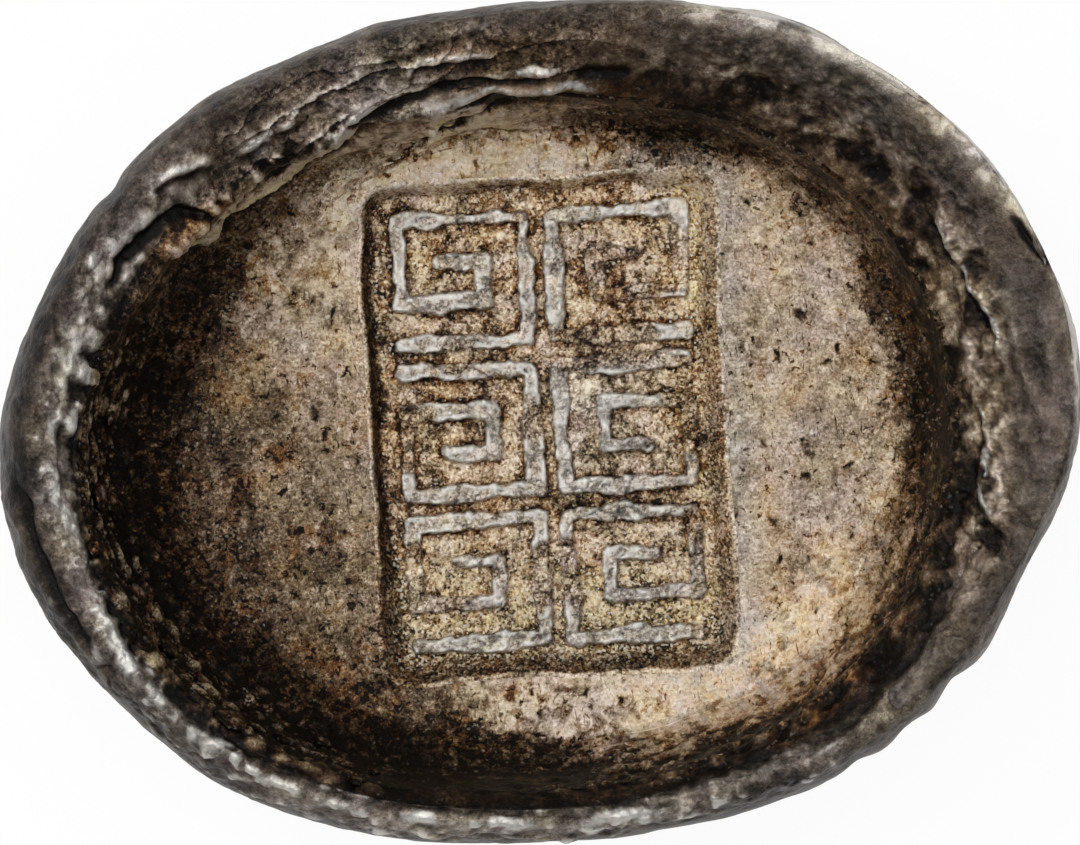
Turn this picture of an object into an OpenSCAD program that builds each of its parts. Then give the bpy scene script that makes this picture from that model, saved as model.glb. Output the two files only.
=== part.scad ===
// Oval trough ingot of cast silver, poured in one mould and stamped on its floor.
// Millimetres. +Z is up and +X runs along the oval. The origin lies on the surface
// that the ingot stands on, under the middle of its outline.

/* [Outline] */
// Length over the widest line of the wall
ingot_l = 57; // [53:0.5:62]
// Width over the widest line of the wall
ingot_w = 44.3; // [41:0.1:48]
// Height of the widest line of the wall
widest_z = 13; // [11:0.5:15]
// Three-sided wave of the outline, as a share of its radius
wave_three = 0.006; // [0:0.001:0.012]
// Four-sided wave of the outline, as a share of its radius
wave_four = 0.008; // [0:0.001:0.012]
// Six-sided wave of the outline, as a share of its radius
wave_six = 0.008; // [0:0.001:0.012]

/* [Base] */
// Length of the flat that the ingot stands on
base_l = 39; // [35:0.5:43]
// Width of the flat that the ingot stands on
base_w = 28.4; // [25:0.2:32]
// Number of gas holes in the base
pit_count = 13; // [1:1:18]
// Width of the largest gas hole
pit_d = 2.6; // [1.4:0.1:3.2]

/* [Rim] */
// Height of the crest along the two sides
crest_z = 18.3; // [16.8:0.1:20.5]
// Extra height of the crest at the two ends
end_rise = 1.6; // [0:0.1:2.4]
// Mean distance of the crest inside the widest line
crest_in = 1.4; // [1.1:0.1:1.8]
// Mean width of the rim, from the widest line to the inner lip
rim_w = 4.9; // [4.2:0.1:5.6]
// Extra width of the rim at the two ends, taken off along the two sides
rim_end_w = 0.7; // [0:0.1:1]
// How far the hollow lies off the middle
hollow_offset = 1.6; // [0:0.1:2]
// Direction in which the rim is thickest, from +X
thick_side_deg = 40; // [0:1:90]
// Mean drop from the crest to the inner lip
lip_drop = 2.4; // [1.9:0.1:3]
// How much the drop grows on the thick side
lip_drop_extra = 1.6; // [0:0.1:1.7]

/* [Floor] */
// Height of the floor
floor_z = 7.9; // [6.6:0.1:9.5]
// Length of the floor, to the foot of the wall
floor_l = 37.5; // [35:0.5:40]
// Width of the floor, to the foot of the wall
floor_w = 31.5; // [30.5:0.1:33]
// Middle of the floor along X
floor_x = 0.5; // [-1:0.1:1]
// Middle of the floor along Y
floor_y = -0.6; // [-1:0.1:0.4]
// Rise of the floor where it meets the wall
floor_rise = 0.5; // [0.2:0.1:1]
// Width of the band in which the floor rises
rise_w = 1.2; // [0.8:0.1:2]
// Depth of the round bottom of the pool that froze last
pool_depth = 2.2; // [1.2:0.1:3]
// Silver left under the sunk panel at the pool's edge
pool_margin = 0.5; // [0.3:0.1:0.8]

/* [Stamp] */
// Width of the sunk panel
panel_w = 19; // [17:0.1:21]
// Height of the sunk panel
panel_h = 26.6; // [24:0.1:27.6]
// Radius of the panel's corners
panel_r = 1.6; // [0.6:0.1:3]
// Depth of the sunk panel
panel_depth = 0.9; // [0.5:0.05:1.2]
// Turn of the panel, from +X
panel_turn_deg = -4; // [-8:0.5:8]
// Middle of the panel along X
panel_x = 0.4; // [-1:0.1:1.5]
// Middle of the panel along Y
panel_y = -0.3; // [-0.6:0.1:0.6]
// Height of the raised fret over the panel
fret_h = 0.5; // [0.2:0.05:0.8]
// Width of the fret's line
fret_line = 1.1; // [0.7:0.05:1.25]
// Plain margin between the panel's edge and the fret
fret_margin = 1.2; // [0.6:0.1:2]

/* [Laps] */
// Where the grey skin on the thick side starts, from +X
skin_from_deg = -52; // [-70:2:-30]
// Where the grey skin on the thick side ends, from +X
skin_to_deg = 70; // [50:2:76]
// Gap between the grey skin and the strata at the top
strata_gap_deg = 5; // [4:1:10]
// How far the strata reach around the rim
strata_arc_deg = 53; // [30:1:70]
// Where the main lap starts, from +X
main_lap_from_deg = 98; // [86:2:110]
// How far the main lap reaches around the rim
main_lap_arc_deg = 60; // [40:2:70]
// Where the second lap starts, from +X
second_lap_from_deg = 80; // [60:2:100]
// How far the second lap reaches around the rim
second_lap_arc_deg = 44; // [30:2:60]
// Where the skin outside the rim starts, from +X
outer_skin_from_deg = 176; // [160:2:190]
// How far the skin outside the rim reaches
outer_skin_arc_deg = 38; // [20:2:50]
// Greatest thickness of the main lap
main_lap_t = 1.1; // [0.4:0.05:1.5]
// Greatest thickness of the second lap
second_lap_t = 0.8; // [0.3:0.05:1.2]
// Greatest thickness of the strata at the top
strata_t = 0.6; // [0.3:0.05:1]
// Greatest thickness of the grey skin on the thick side
skin_t = 0.5; // [0.3:0.05:0.8]
// Greatest thickness of the skin outside the rim
outer_skin_t = 0.6; // [0.3:0.05:0.9]
// Thickness of a lap at its edge
lap_edge = 0.12; // [0.08:0.01:0.2]

/* [Crust and beads] */
// Greatest thickness of the crust at the foot of the wall
crust_t = 0.45; // [0.2:0.05:0.8]
// Number of silver beads on the thin side of the rim
bead_count = 9; // [1:1:12]
// Height of the largest bead
bead_h = 0.8; // [0.3:0.05:1.1]
// Gap between the main lap and the first bead
bead_gap_deg = 5; // [4:1:12]
// Angle from one bead to the next
bead_pitch_deg = 9; // [8:1:11]

/* [Hidden] */
// Points around, and steps of the section: outside, shoulder, rim, inner wall, pool
n = 96;
n_out = 7;
n_shoulder = 4;
n_rim = 4;
n_wall = 8;
n_pool = 4;
step = 360 / n;
j_crest = n_out + n_shoulder;
j_lip = j_crest + n_rim;
j_foot = j_lip + n_wall;

// The outline of unit size, with its waves, centred in its own box
function wave(a) = 1 + wave_three * cos(3 * a - 168) + wave_four * cos(4 * a - 148)
    + wave_six * cos(6 * a + 9);
raw_x = [for (i = [0:n - 1]) wave(i * step) * cos(i * step)];
raw_y = [for (i = [0:n - 1]) wave(i * step) * sin(i * step)];
mid = [(max(raw_x) + min(raw_x)) / 2, (max(raw_y) + min(raw_y)) / 2];
span = [(max(raw_x) - min(raw_x)) / 2, (max(raw_y) - min(raw_y)) / 2];
function unit(i) = [(raw_x[i] - mid[0]) / span[0], (raw_y[i] - mid[1]) / span[1]];
function oval(l, w, i) = [unit(i)[0] * l / 2, unit(i)[1] * w / 2];

// A point of the outline, moved inwards by d
function out_dir(i) = let (v = [cos(i * step) / ingot_l, sin(i * step) / ingot_w]) v / norm(v);
function inset(i, d) = oval(ingot_l, ingot_w, i) - d * out_dir(i);

// The rim: how thick it is, and where its crest and inner lip lie
function thick(i) = cos(i * step - thick_side_deg);
function crest_d(i) = crest_in * (1 - 0.6 * thick(i));
function lip_d(i) = rim_w + hollow_offset * thick(i) + rim_end_w * cos(2 * i * step);
function top_z(i) = crest_z + end_rise * pow(cos(i * step), 2);
function lip_z(i) = top_z(i) - lip_drop - lip_drop_extra * thick(i);
foot_z = floor_z + floor_rise;
pool_edge = floor_rise + panel_depth + pool_margin;

// An oval about the middle of the floor
function floor_oval(l, w, i) = [floor_x, floor_y] + oval(l, w, i);

function out_point(i, t) = let (p = oval(base_l, base_w, i))
    concat(p + (oval(ingot_l, ingot_w, i) - p) * sin(90 * t), widest_z * t);
function shoulder_point(i, t) =
    concat(inset(i, crest_d(i) * (1 - cos(90 * t))), widest_z + (top_z(i) - widest_z) * sin(90 * t));
function rim_point(i, t) = concat(
    inset(i, crest_d(i) + (lip_d(i) - crest_d(i)) * t),
    top_z(i) + (lip_z(i) - top_z(i)) * pow(t, 1.5));
function wall_point(i, t) = let (p = inset(i, lip_d(i)), q = floor_oval(floor_l, floor_w, i))
    concat(p + (q - p) * (1 - cos(90 * t)), lip_z(i) + (foot_z - lip_z(i)) * sin(90 * t));
function pool_point(i, t) = concat(
    floor_oval(floor_l * cos(78 * t), floor_w * cos(78 * t), i),
    foot_z - pool_edge - pool_depth * sin(78 * t));

// The whole section as rings, from under the base, over the crest, to the foot of the wall
under = [for (i = [0:n - 1]) concat(oval(base_l, base_w, i) * 0.96, -floor_rise)];
rings = concat(
    [for (j = [0:n_out - 1]) [for (i = [0:n - 1]) out_point(i, j / n_out)]],
    [for (j = [0:n_shoulder - 1]) [for (i = [0:n - 1]) shoulder_point(i, j / n_shoulder)]],
    [for (j = [0:n_rim - 1]) [for (i = [0:n - 1]) rim_point(i, j / n_rim)]],
    [for (j = [0:n_wall]) [for (i = [0:n - 1]) wall_point(i, j / n_wall)]]);
pool_rings = [for (j = [0:n_pool]) [for (i = [0:n - 1]) pool_point(i, j / n_pool)]];

// A point of the section, and the direction out of the metal there
function at(i, j) = rings[j][(i + n) % n];
function normal(i, j) = let (
        along = at(i + 1, j) - at(i - 1, j),
        across = at(i, min(j + 1, j_foot)) - at(i, max(j - 1, 0)),
        v = cross(along, across))
    v / norm(v);

// A solid from rings of n points, closed by flat ends
module rings_solid(list) {
    m = len(list);
    points = [for (ring = list) each ring];
    sides = [for (j = [0:m - 2], i = [0:n - 1]) let (k = (i + 1) % n)
        each [[j * n + i, j * n + n + k, j * n + k], [j * n + i, j * n + n + i, j * n + n + k]]];
    first = [for (i = [0:n - 1]) i];
    last = [for (i = [0:n - 1]) m * n - 1 - i];
    polyhedron(points, concat([first], sides, [last]));
}

// A tongue of metal on part of the section: full is its greatest thickness,
// and lean moves the thickest line towards the later rings
module tongue(i1, i2, j1, j2, full, lean) {
    ni = i2 - i1;
    nj = j2 - j1;
    w = ni + 1;
    low = [for (j = [0:nj], i = [0:ni]) at(i1 + i, j1 + j)];
    high = [for (j = [0:nj], i = [0:ni])
        at(i1 + i, j1 + j) + normal(i1 + i, j1 + j)
            * (lap_edge + (full - lap_edge) * sqrt(sin(180 * i / ni)) * sin(180 * pow(j / nj, lean)))];
    s = len(low);
    top = [for (j = [0:nj - 1], i = [0:ni - 1]) let (p = s + j * w + i)
        each [[p, p + w + 1, p + 1], [p, p + w, p + w + 1]]];
    bottom = [for (j = [0:nj - 1], i = [0:ni - 1]) let (p = j * w + i)
        each [[p, p + 1, p + w + 1], [p, p + w + 1, p + w]]];
    fore = [for (i = [0:ni - 1]) each [[i, s + i, s + i + 1], [i, s + i + 1, i + 1]]];
    back = [for (i = [0:ni - 1]) let (p = nj * w + i)
        each [[p, p + 1, s + p + 1], [p, s + p + 1, s + p]]];
    start = [for (j = [0:nj - 1]) let (p = j * w) each [[p, p + w, s + p + w], [p, s + p + w, s + p]]];
    end = [for (j = [0:nj - 1]) let (p = j * w + ni) each [[p, s + p, s + p + w], [p, s + p + w, p + w]]];
    polyhedron(concat(low, high), concat(top, bottom, fore, back, start, end));
}

// The same, from an angle and the arc that it covers
function around(a) = round(a / step);
module lap(from, arc, j1, j2, full, lean) {
    tongue(around(from), around(from + arc), j1, j2, full, lean);
}

// A low dome on one cell of the section
module dome(i, j, h) {
    low = [at(i, j), at(i + 1, j), at(i + 1, j + 1), at(i, j + 1)];
    middle = (low[0] + low[1] + low[2] + low[3]) / 4;
    v = normal(i, j) + normal(i + 1, j + 1);
    rise = v / norm(v) * h;
    half = [for (p = low) middle + (p - middle) * 0.75 + rise * 0.7];
    polyhedron(concat(low, half, [middle + rise]),
        [[0, 1, 2], [0, 2, 3],
        [0, 5, 1], [0, 4, 5], [1, 6, 2], [1, 5, 6], [2, 7, 3], [2, 6, 7], [3, 4, 0], [3, 7, 4],
        [4, 8, 5], [5, 8, 6], [6, 8, 7], [7, 8, 4]]);
}

// Corner points of a rectangle with rounded corners
function rounded(w, h, r) = [for (q = [0:3], s = [0:4])
    let (a = 90 * q + 22.5 * s, sx = q == 0 || q == 3 ? 1 : -1, sy = q < 2 ? 1 : -1)
    [sx * (w / 2 - r) + r * cos(a), sy * (h / 2 - r) + r * sin(a)]];

// The outline of a line of width w along a path
function side(p, q) = [p[1] - q[1], q[0] - p[0]] / norm(q - p);
function line_edge(path, w) = let (m = len(path) - 1) [for (k = [0:m])
    let (a = side(path[max(k - 1, 0)], path[max(k, 1)]), b = side(path[min(k, m - 1)], path[min(k + 1, m)]))
    path[k] + (a + b) / (1 + a * b) * w / 2];
function line_outline(path, w) = let (back = line_edge(path, -w))
    concat(line_edge(path, w), [for (k = [len(back) - 1:-1:0]) back[k]]);

// One square spiral of the fret, in a cell of the panel
cell_w = (panel_w - 2 * fret_margin) / 2;
cell_h = (panel_h - 2 * fret_margin) / 3;
pitch_x = (cell_w - 1.5 * fret_line) / 6;
pitch_y = (cell_h - 1.5 * fret_line) / 6;
spiral = [[3, -3], [-3, -3], [-3, 3], [3, 3], [3, -1], [-1, -1], [-1, 1], [1, 1]];
module fret_cell(flip_x, flip_y) {
    path = [for (p = spiral) [p[0] * pitch_x * flip_x, p[1] * pitch_y * flip_y]];
    linear_extrude(height = fret_h) polygon(line_outline(path, fret_line));
}

module on_panel(z) {
    translate([panel_x, panel_y, z]) rotate([0, 0, panel_turn_deg]) children();
}

// The space that the stamp sank
module panel_space() {
    on_panel(floor_z - panel_depth) linear_extrude(height = panel_depth + floor_rise)
        polygon(rounded(panel_w, panel_h, panel_r));
}

// Base, wall and rim: the silver that froze first, against the mould
module chilled_shell() {
    color("#8b8680") difference() {
        rings_solid(concat([under], rings, pool_rings));
        translate([-ingot_l, -ingot_w, -crest_z]) cube([2 * ingot_l, 2 * ingot_w, crest_z]);
        panel_space();
        for (k = [0:pit_count - 1]) {
            r = sqrt((k + 0.5) / pit_count) * 0.4;
            d = pit_d * (0.6 + 0.4 * abs(sin(k * 73)));
            translate([base_l * r * cos(k * 137.5), base_w * r * sin(k * 137.5), -d * 0.2])
                sphere(d = d, $fn = 32);
        }
    }
}

// The pool in the middle that froze last, with the stamped panel and its raised fret
module floor_pool() {
    brim = [for (i = [0:n - 1]) concat(floor_oval(floor_l - 2 * rise_w, floor_w - 2 * rise_w, i), floor_z)];
    bowl = [for (j = [n_pool:-1:0]) pool_rings[j]];
    color("#a3937c") union() {
        difference() {
            rings_solid(concat(bowl, [rings[j_foot], brim]));
            panel_space();
        }
        for (c = [-1, 1], r = [-1:1])
            on_panel(floor_z - panel_depth) translate([c * cell_w / 2, r * cell_h, 0])
                fret_cell(c, r == 0 ? -1 : 1);
    }
}

// The tongue of silver that froze over the inner wall at the upper left
module main_lap() {
    color("#a8a198") lap(main_lap_from_deg, main_lap_arc_deg, j_lip - 1, j_lip + 2, main_lap_t, 1.6);
}

// The shorter tongue under the main lap
module second_lap() {
    color("#99917f") lap(second_lap_from_deg, second_lap_arc_deg, j_lip + 2, j_lip + 5, second_lap_t, 1.6);
}

// The layers of skin that lie over each other at the top of the rim
module top_strata() {
    color("#7d736a") lap(skin_to_deg + strata_gap_deg, strata_arc_deg, j_crest, j_lip - 1, strata_t, 1.3);
}

// The smooth grey skin over the thick side of the rim
module grey_skin() {
    color("#6d6761") lap(skin_from_deg, skin_to_deg - skin_from_deg, j_crest, j_lip, skin_t, 1);
}

// The loose skin outside the rim at the lower left
module outer_skin() {
    color("#8f8a84") lap(outer_skin_from_deg, outer_skin_arc_deg, j_crest - 3, j_crest - 1, outer_skin_t, 1);
}

// The black crust in the foot of the wall
module wall_crust() {
    low = [for (j = [j_lip + 5:j_foot]) rings[j]];
    m = len(low);
    high = [for (j = [0:m - 1]) [for (i = [0:n - 1])
        low[j][i] + normal(i, j_lip + 5 + j) * (lap_edge + (crust_t - lap_edge) * sin(180 * j / (m - 1)))]];
    points = concat([for (ring = low) each ring], [for (ring = high) each ring]);
    s = m * n;
    top = [for (j = [0:m - 2], i = [0:n - 1]) let (p = s + j * n + i, k = s + j * n + (i + 1) % n)
        each [[p, k + n, k], [p, p + n, k + n]]];
    bottom = [for (j = [0:m - 2], i = [0:n - 1]) let (p = j * n + i, k = j * n + (i + 1) % n)
        each [[p, k, k + n], [p, k + n, p + n]]];
    fore = [for (i = [0:n - 1]) let (k = (i + 1) % n) each [[i, s + i, s + k], [i, s + k, k]]];
    back = [for (i = [0:n - 1]) let (p = s - n + i, k = s - n + (i + 1) % n)
        each [[p, k, s + k], [p, s + k, s + p]]];
    color("#231d18") polyhedron(points, concat(top, bottom, fore, back));
}

// The silver beads on the inner edge of the thin side
module silver_beads() {
    first = main_lap_from_deg + main_lap_arc_deg + bead_gap_deg;
    color("#c9c4bb") for (k = [0:bead_count - 1])
        dome(around(first + bead_pitch_deg * k), j_lip + (k * 2) % 3,
            bead_h * (0.6 + 0.4 * abs(cos(k * 61))));
}

chilled_shell();
floor_pool();
main_lap();
second_lap();
top_strata();
grey_skin();
outer_skin();
wall_crust();
silver_beads();
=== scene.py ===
# %% [markdown]
# # An oval trough ingot of cast silver
# Silver was poured into an open mould. The wall froze first, skins of half-frozen metal slid over the rim,
# and the pool in the middle froze last and was stamped while it was soft. Centuries of tarnish then turned
# it grey, brown and black, and handling kept the high spots bright. Each of those steps is a step of this
# lesson.

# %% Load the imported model
import math
from types import SimpleNamespace

import bpy
import numpy as np
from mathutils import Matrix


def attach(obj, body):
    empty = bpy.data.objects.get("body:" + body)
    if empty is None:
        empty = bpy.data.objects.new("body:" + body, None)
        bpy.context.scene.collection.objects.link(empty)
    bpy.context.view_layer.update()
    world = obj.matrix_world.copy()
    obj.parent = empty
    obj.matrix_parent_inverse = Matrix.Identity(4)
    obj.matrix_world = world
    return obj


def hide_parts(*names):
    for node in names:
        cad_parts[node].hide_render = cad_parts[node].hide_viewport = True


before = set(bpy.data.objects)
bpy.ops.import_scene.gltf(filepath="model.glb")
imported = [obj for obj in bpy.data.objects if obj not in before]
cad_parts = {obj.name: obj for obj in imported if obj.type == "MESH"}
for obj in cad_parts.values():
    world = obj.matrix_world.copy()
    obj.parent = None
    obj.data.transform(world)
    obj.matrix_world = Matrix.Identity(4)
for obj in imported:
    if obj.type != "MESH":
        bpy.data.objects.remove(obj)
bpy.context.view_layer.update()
MM = 0.001

# %% [markdown]
# ## Randomness that stays put
# Cast metal is uneven at every size, from a sagging rim to grains of tarnish. Blender's noise textures
# only live in materials and modifiers, and here the same unevenness has to move points and to colour them.
# So the noise is written with NumPy, from one seeded table, and gives the same ingot on every run.

# %% Noise, scattered cells and soft steps
rng = np.random.default_rng(1729)
SHUFFLE = np.tile(rng.permutation(256), 2)
HEIGHTS = rng.uniform(-1, 1, 256)
SPOTS = rng.uniform(0, 1, (256, 3))


def soft_step(x, low, high):
    """0 below low, 1 above high, and a smooth change between them."""
    t = np.clip((x - low) / (high - low), 0, 1)
    return t * t * (3 - 2 * t)


def pick(cell):
    """A random number from 0 to 255 for each cell of a 3-D grid."""
    x, y, z = (cell[..., k] & 255 for k in range(3))
    return SHUFFLE[SHUFFLE[SHUFFLE[x] + y] + z]


def uneven(p, size, octaves=3, gain=0.5, seed=0):
    """Smooth random values of about -1 to 1 at the points p, with lumps of that size in mm."""
    q = p / size + 17.3 * seed
    total, reach, scale = 0.0, 0.0, 1.0
    for _ in range(octaves):
        cell = np.floor(q).astype(int)
        f = q - cell
        f = f * f * f * (f * (f * 6 - 15) + 10)
        value = 0.0
        for corner in np.ndindex(2, 2, 2):
            share = np.prod(np.where(corner, f, 1 - f), axis=-1)
            value = value + HEIGHTS[pick(cell + corner)] * share
        total = total + scale * value
        reach += scale
        scale *= gain
        q = q * 2.03 + 5.1
    return 1.5 * total / reach


def torn(p, reach=0.5):
    """The points p shifted by up to about reach mm, so that whatever is drawn at them gets a torn edge."""
    return p + reach * np.stack([uneven(p, 1.9 * reach, 2, seed=k) for k in (66, 67, 68)], -1)


def scattered(p, size, seed=0):
    """Distances in mm to the nearest and second nearest of scattered points, and the nearest one's own random
    number from -1 to 1."""
    q = p / size + 31.7 * seed
    home = np.floor(q).astype(int)
    near = np.full(len(q), 9.0)
    second, tag = near.copy(), np.zeros(len(q))
    for step in np.ndindex(3, 3, 3):
        cell = home + np.array(step) - 1
        number = pick(cell)
        d = np.linalg.norm(cell + SPOTS[number] - q, axis=-1)
        second = np.where(d < near, near, np.minimum(second, d))
        tag = np.where(d < near, HEIGHTS[number], tag)
        near = np.minimum(near, d)
    return near * size, second * size, tag


def from_line(p, points):
    """For each point, seen from above: distance in mm from a drawn line, 1 where it lies on the line's outer
    side and 0 on the side towards the hollow, and the share of the way along the line."""
    path = np.array(points, float)
    ends = np.append(0, np.cumsum(np.linalg.norm(np.diff(path, axis=0), axis=1)))
    best = np.full(len(p), 99.0)
    outer, along = np.zeros(len(p)), np.zeros(len(p))
    for k in range(len(path) - 1):
        way = path[k + 1] - path[k]
        t = np.clip((p[:, :2] - path[k]) @ way / (way @ way), 0, 1)
        away = p[:, :2] - path[k] - t[:, None] * way
        d = np.hypot(away[:, 0], away[:, 1])
        closer = d < best
        best = np.where(closer, d, best)
        outer = np.where(closer, (away * p[:, :2]).sum(1) > 0, outer)
        along = np.where(closer, (ends[k] + t * (ends[k + 1] - ends[k])) / ends[-1], along)
    return best, outer, along


print("noise at three points:", uneven(np.eye(3) * 7, 2.0).round(3))

# %% [markdown]
# ## The section of the ingot
# The CAD part is a section that is swept around an oval: up the outer wall, over the shoulder and the rim,
# and down the inner wall to the floor. The same formulas are repeated here, so that every piece lies where
# its solid is. A place on the ingot is an angle around it and a number for how far along the section it
# is: 0 to 1 is the outer wall, 1 to 2 the shoulder, 2 to 3 the rim, 3 to 4 the inner wall, and 4 to 5 the
# bed of the pool.

# %% Sizes of the section, in mm
DEG = math.pi / 180
QUARTER = 90 * DEG
LENGTH, WIDTH, WIDEST_Z = 57.0, 44.3, 13.0
BASE = np.array([39.0, 28.4])
CREST_Z, END_RISE, CREST_IN = 18.3, 1.6, 1.4
RIM_W, RIM_END_W, HOLLOW_OFFSET = 4.9, 0.7, 1.6
LIP_DROP, LIP_DROP_EXTRA = 2.4, 1.6
THICK_SIDE = 40 * DEG
FLOOR, FLOOR_MID, FLOOR_Z, FLOOR_RISE = np.array([37.5, 31.5]), np.array([0.5, -0.6]), 7.9, 0.5
FOOT_Z = FLOOR_Z + FLOOR_RISE
POOL_DEPTH, POOL_EDGE, POOL_BOWL = 2.2, 1.5, 78 * DEG
# The outline's three-, four- and six-sided waves: sides, share of the radius, and turn in degrees.
WAVES = [(3, 0.006, -168), (4, 0.008, -148), (6, 0.008, 9)]


def wavy(a):
    """Points of a circle of radius 1 with the outline's waves."""
    radius = sum((share * np.cos(sides * a + turn * DEG) for sides, share, turn in WAVES), 1)
    return radius[..., None] * np.stack([np.cos(a), np.sin(a)], -1)


corners = wavy(np.arange(96) * 2 * math.pi / 96)
WAVE_MID = (corners.max(0) + corners.min(0)) / 2
WAVE_SPAN = (corners.max(0) - corners.min(0)) / 2


def section(a, s):
    """Points of the section: a is the angle in radians, s the place along the section."""
    a, s = np.broadcast_arrays(a, s)
    edge = (wavy(a) - WAVE_MID) / WAVE_SPAN
    widest, base = edge * [LENGTH / 2, WIDTH / 2], edge * BASE / 2
    out = np.stack([np.cos(a) / LENGTH, np.sin(a) / WIDTH], -1)
    out /= np.linalg.norm(out, axis=-1, keepdims=True)
    thick = np.cos(a - THICK_SIDE)
    crest_in = CREST_IN * (1 - 0.6 * thick)
    lip_in = RIM_W + HOLLOW_OFFSET * thick + RIM_END_W * np.cos(2 * a)
    top_z = CREST_Z + END_RISE * np.cos(a) ** 2
    lip_z = top_z - LIP_DROP - LIP_DROP_EXTRA * thick
    t = [np.clip(s - k, 0, 1) for k in range(5)]
    inset = crest_in * (1 - np.cos(QUARTER * t[1])) + (lip_in - crest_in) * t[2]
    outer = base + (widest - base) * np.sin(QUARTER * t[0])[..., None] - out * inset[..., None]
    lip = widest - out * lip_in[..., None]
    # The bed of the pool starts with a small step down and inwards.
    step = np.clip(10 * t[4], 0, 1)
    foot = FLOOR_MID + edge * FLOOR / 2 * ((1 - 0.06 * step) * np.cos(POOL_BOWL * t[4]))[..., None]
    inner = lip + (foot - lip) * (1 - np.cos(QUARTER * t[3]))[..., None]
    z = (WIDEST_Z * t[0] + (top_z - WIDEST_Z) * np.sin(QUARTER * t[1]) + (lip_z - top_z) * t[2] ** 1.5
         + (FOOT_Z - lip_z) * np.sin(QUARTER * t[3]) - 0.45 * step - POOL_EDGE * np.clip(5 * t[4] - 0.5, 0, 1)
         - POOL_DEPTH * np.sin(POOL_BOWL * t[4]))
    xy = np.where((s > 3)[..., None], inner, outer)
    return np.concatenate([xy, z[..., None]], -1)


def section_normal(a, s):
    """The direction out of the metal, blended a little over the section's corners."""
    along = section(a + 0.002, s) - section(a - 0.002, s)
    across = section(a, s + 0.04) - section(a, s - 0.04)
    n = np.cross(along, across)
    return n / np.linalg.norm(n, axis=-1, keepdims=True)


right_end = section(np.zeros(2), np.array([2.0, 4.0]))
print("crest and foot at the right-hand end, mm:", right_end.round(2).tolist())

# %% [markdown]
# ## What the metal did while it froze
# The rim isn't turned or filed. Where skins slid and stopped they left ridges with a steep inner side, and
# cracks opened between them. These lines are drawn as a few points each, seen from above, in
# millimetres. Sculpting could do this too, but a few numbers stay readable, and can be moved.

# %% Ridges of the rim
# Each ridge: points, height, width of its outer slope, how bright handling has kept it, and how wide that is.
RIDGES = [
    # The edge of the main lap, upper left, and of the lap below it.
    ([(-19.2, 11.2), (-16.6, 11.8), (-15.2, 13.0), (-12.5, 14.2), (-10.4, 15.7), (-7.3, 17.2), (-4.2, 18.5)],
     0.6, 1.3, 2.6, 0.28),
    ([(-9.9, 13.1), (-7.6, 14.7), (-4.9, 16.0), (-3.2, 17.0), (0.4, 17.5), (3.8, 17.4), (6.3, 16.4)],
     0.4, 1.0, 1.4, 0.2),
    ([(-8.9, 12.6), (-5.2, 14.7), (-3.5, 15.8), (-1.1, 16.1), (2.8, 15.9)], 0.3, 0.7, 1.4, 0.22),
    # Edges of the stacked sheets at the top.
    ([(-0.7, 18.2), (0.6, 18.5), (2.0, 18.6), (3.6, 18.1)], 0.3, 0.8, 1.4, 0.2),
    ([(-5.3, 18.4), (-4.1, 19.5), (-2.4, 19.6), (-0.5, 19.7), (1.3, 19.0)], 0.25, 0.9, 0.9, 0.18),
    ([(-8.7, 18.2), (-6.3, 19.7), (-3.7, 20.4), (-1.0, 20.9), (1.5, 20.1), (4.0, 19.7)], 0.2, 0.8, 0.15, 0.2),
    ([(4.0, 17.5), (6.9, 17.2), (8.5, 17.9), (9.5, 19.8)], 0.08, 0.7, 0.1, 0.2),
    # A lobe of skin and a fold at the upper left.
    ([(-18.5, 13.4), (-18.5, 14.4), (-17.4, 15.2), (-16.1, 15.7), (-14.8, 15.7)], 0.3, 0.5, 1.0, 0.35),
    ([(-13.9, 15.9), (-12.2, 16.9), (-10.2, 17.9)], 0.25, 0.7, 1.2, 0.25),
    # The knotted inner edge of the skin, right.
    ([(21.2, 8.8), (22.0, 7.6), (23.0, 5.6), (23.6, 4.0), (24.2, 1.4), (23.5, -0.2)], 0.35, 0.9, 1.1, 0.2),
    ([(22.8, -1.0), (23.3, -3.2), (22.4, -6.0), (22.6, -8.6)], 0.35, 0.8, 1.1, 0.22),
    ([(24.9, 2.8), (25.1, 0.0), (25.8, -2.6)], 0.14, 0.6, 0.3, 0.12),
    ([(26.6, 1.2), (26.7, -1.3), (26.8, -2.4)], 0.1, 0.4, 0.3, 0.12),
    # The fold outside the rim, lower left.
    ([(-26.9, -3.9), (-26.4, -5.9), (-25.5, -7.8), (-24.0, -10.1), (-23.6, -10.9)], 0.3, 0.5, 0.6, 0.25),
    ([(-27.6, -0.6), (-27.1, -3.0)], 0.25, 0.4, 0.5, 0.25),
    # The crest of the thin side, from the left round to the lower right.
    ([(-22.4, 8.4), (-24.4, 5.3), (-25.2, 2.4), (-25.3, -0.6), (-24.6, -4.8)], 0.2, 0.9, 0.7, 0.6),
    ([(-25.0, -2.6), (-24.2, -6.1), (-22.4, -10.5), (-19.7, -13.6), (-16.5, -16.7), (-12.6, -18.6),
      (-9.0, -19.6)], 0.25, 1.0, 0.9, 0.5),
    ([(-12.6, -18.8), (-6.7, -20.3), (-0.5, -21.0), (4.6, -21.1), (9.0, -20.4)], 0.2, 1.0, 1.0, 0.5),
    ([(10.5, -19.6), (14.5, -17.8), (18.2, -14.8), (20.6, -11.6)], 0.2, 0.9, 0.35, 0.4),
]

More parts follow.
